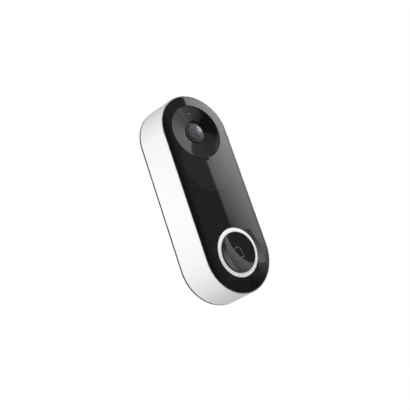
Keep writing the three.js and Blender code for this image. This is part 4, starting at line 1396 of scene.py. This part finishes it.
        def bright_strength(tree, light):
            across, up = self.place(tree)
            away = self.maths(tree, "ADD", up, self.maths(tree, "MULTIPLY", across, 0.45))
            level = self.ramp(tree, away, -0.006, 0.009, 1, 0.42)
            tree.links.new(self.maths(tree, "MULTIPLY", level, studio.button_card), light.inputs["Strength"])

        def dark_strength(tree, light):
            light.inputs["Strength"].default_value = studio.shade

        self.hang(self.card("button_card", [(x, depth, z) for x, z in bright]), bright_strength)
        self.hang(self.card("button_shade", [(x, depth, z) for x, z in dark]), dark_strength)

    def dark_card(self, studio):
        """The dark card in front, which keeps the panel's left half black."""
        left, right = -0.35, 0.56
        bottom, top = -0.4, 0.42
        depth = CARD_DEPTH - 0.01
        corners = [(left, depth, bottom), (right, depth, bottom), (right, depth, top), (left, depth, top)]
        card = self.card("dark_card", corners)

        def strength(tree, light):
            across, up = self.place(tree)
            side = self.ramp(tree, across, 0.348, 0.366, 0.1, 1)
            lower = self.ramp(tree, up, -0.1, 0, 0.5, 1)
            both = self.maths(tree, "MULTIPLY", side, lower)
            tree.links.new(self.maths(tree, "MULTIPLY", both, studio.shade), light.inputs["Strength"])

        self.hang(card, strength)

    @staticmethod
    def side_lights(studio):
        """A large soft light on the left, and a small one close by."""
        rows = (
            ("side_light", (-1.1, -0.35, 0.35), 1.3, studio.side_light),
            ("side_fill", (-0.175, -0.015, 0.0), 0.06, studio.side_fill),
        )
        for name, place, size, power in rows:
            start()
            bpy.ops.object.light_add(type="AREA", location=place)
            light = bpy.context.object
            light.name = name
            light.data.size = size
            light.data.energy = power
            light.rotation_euler = (-light.location).to_track_quat("-Z", "Y").to_euler()

    @staticmethod
    def camera(scene, studio):
        """The camera, from its angles, its distance and the point on the panel that it is aimed at."""
        across, climb = studio.azimuth, studio.elevation
        forward = Vector((
            math.sin(across) * math.cos(climb), math.cos(across) * math.cos(climb), math.sin(climb),
        ))
        level = forward.cross(Vector((0, 0, 1))).normalized()
        upright = level.cross(forward)
        up = math.cos(studio.roll) * upright + math.sin(studio.roll) * level
        right = forward.cross(up)
        aim = Vector((studio.aim_x, FRONT, studio.aim_z))
        place = aim - studio.distance * forward
        start()
        bpy.ops.object.camera_add()
        camera = bpy.context.object
        axes = Matrix((right, up, -forward)).transposed().to_4x4()
        camera.matrix_world = Matrix.Translation(place) @ axes
        camera.data.sensor_width = 36
        camera.data.lens = studio.lens
        camera.data.clip_start = 0.01
        scene.camera = camera


# ------------------------------------------------------------------ sidebar and registration

PIECES = (
    DOORBELL_OT_shell,
    DOORBELL_OT_panel,
    DOORBELL_OT_dish,
    DOORBELL_OT_lens,
    DOORBELL_OT_button,
    DOORBELL_OT_back,
    DOORBELL_OT_bracket,
    DOORBELL_OT_back_controls,
    DOORBELL_OT_inner_finishes,
    DOORBELL_OT_stage,
)


class DOORBELL_PT_sidebar(bpy.types.Panel):
    """Lists the doorbell's pieces and its stage"""

    bl_idname = "DOORBELL_PT_sidebar"
    bl_label = "Video Doorbell"
    bl_space_type = "VIEW_3D"
    bl_region_type = "UI"
    bl_category = "Doorbell"

    def draw(self, context):
        for operator in PIECES:
            self.layout.operator(operator.bl_idname)


CLASSES = (DoorbellSizes, DoorbellColours, DoorbellStudio, *PIECES, DOORBELL_PT_sidebar)


def register():
    for cls in CLASSES:
        bpy.utils.register_class(cls)
    bpy.types.Scene.doorbell_sizes = bpy.props.PointerProperty(type=DoorbellSizes)
    bpy.types.Scene.doorbell_colours = bpy.props.PointerProperty(type=DoorbellColours)
    bpy.types.Scene.doorbell_studio = bpy.props.PointerProperty(type=DoorbellStudio)


def unregister():
    del bpy.types.Scene.doorbell_studio
    del bpy.types.Scene.doorbell_colours
    del bpy.types.Scene.doorbell_sizes
    for cls in reversed(CLASSES):
        bpy.utils.unregister_class(cls)


def main():
    register()
    for operator in PIECES:
        group, action = operator.bl_idname.split(".")
        getattr(getattr(bpy.ops, group), action)()
    visual_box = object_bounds()
    cad, visual = ([list(corner) for corner in box] for box in (cad_box, visual_box))


if __name__ == "__main__":
    main()
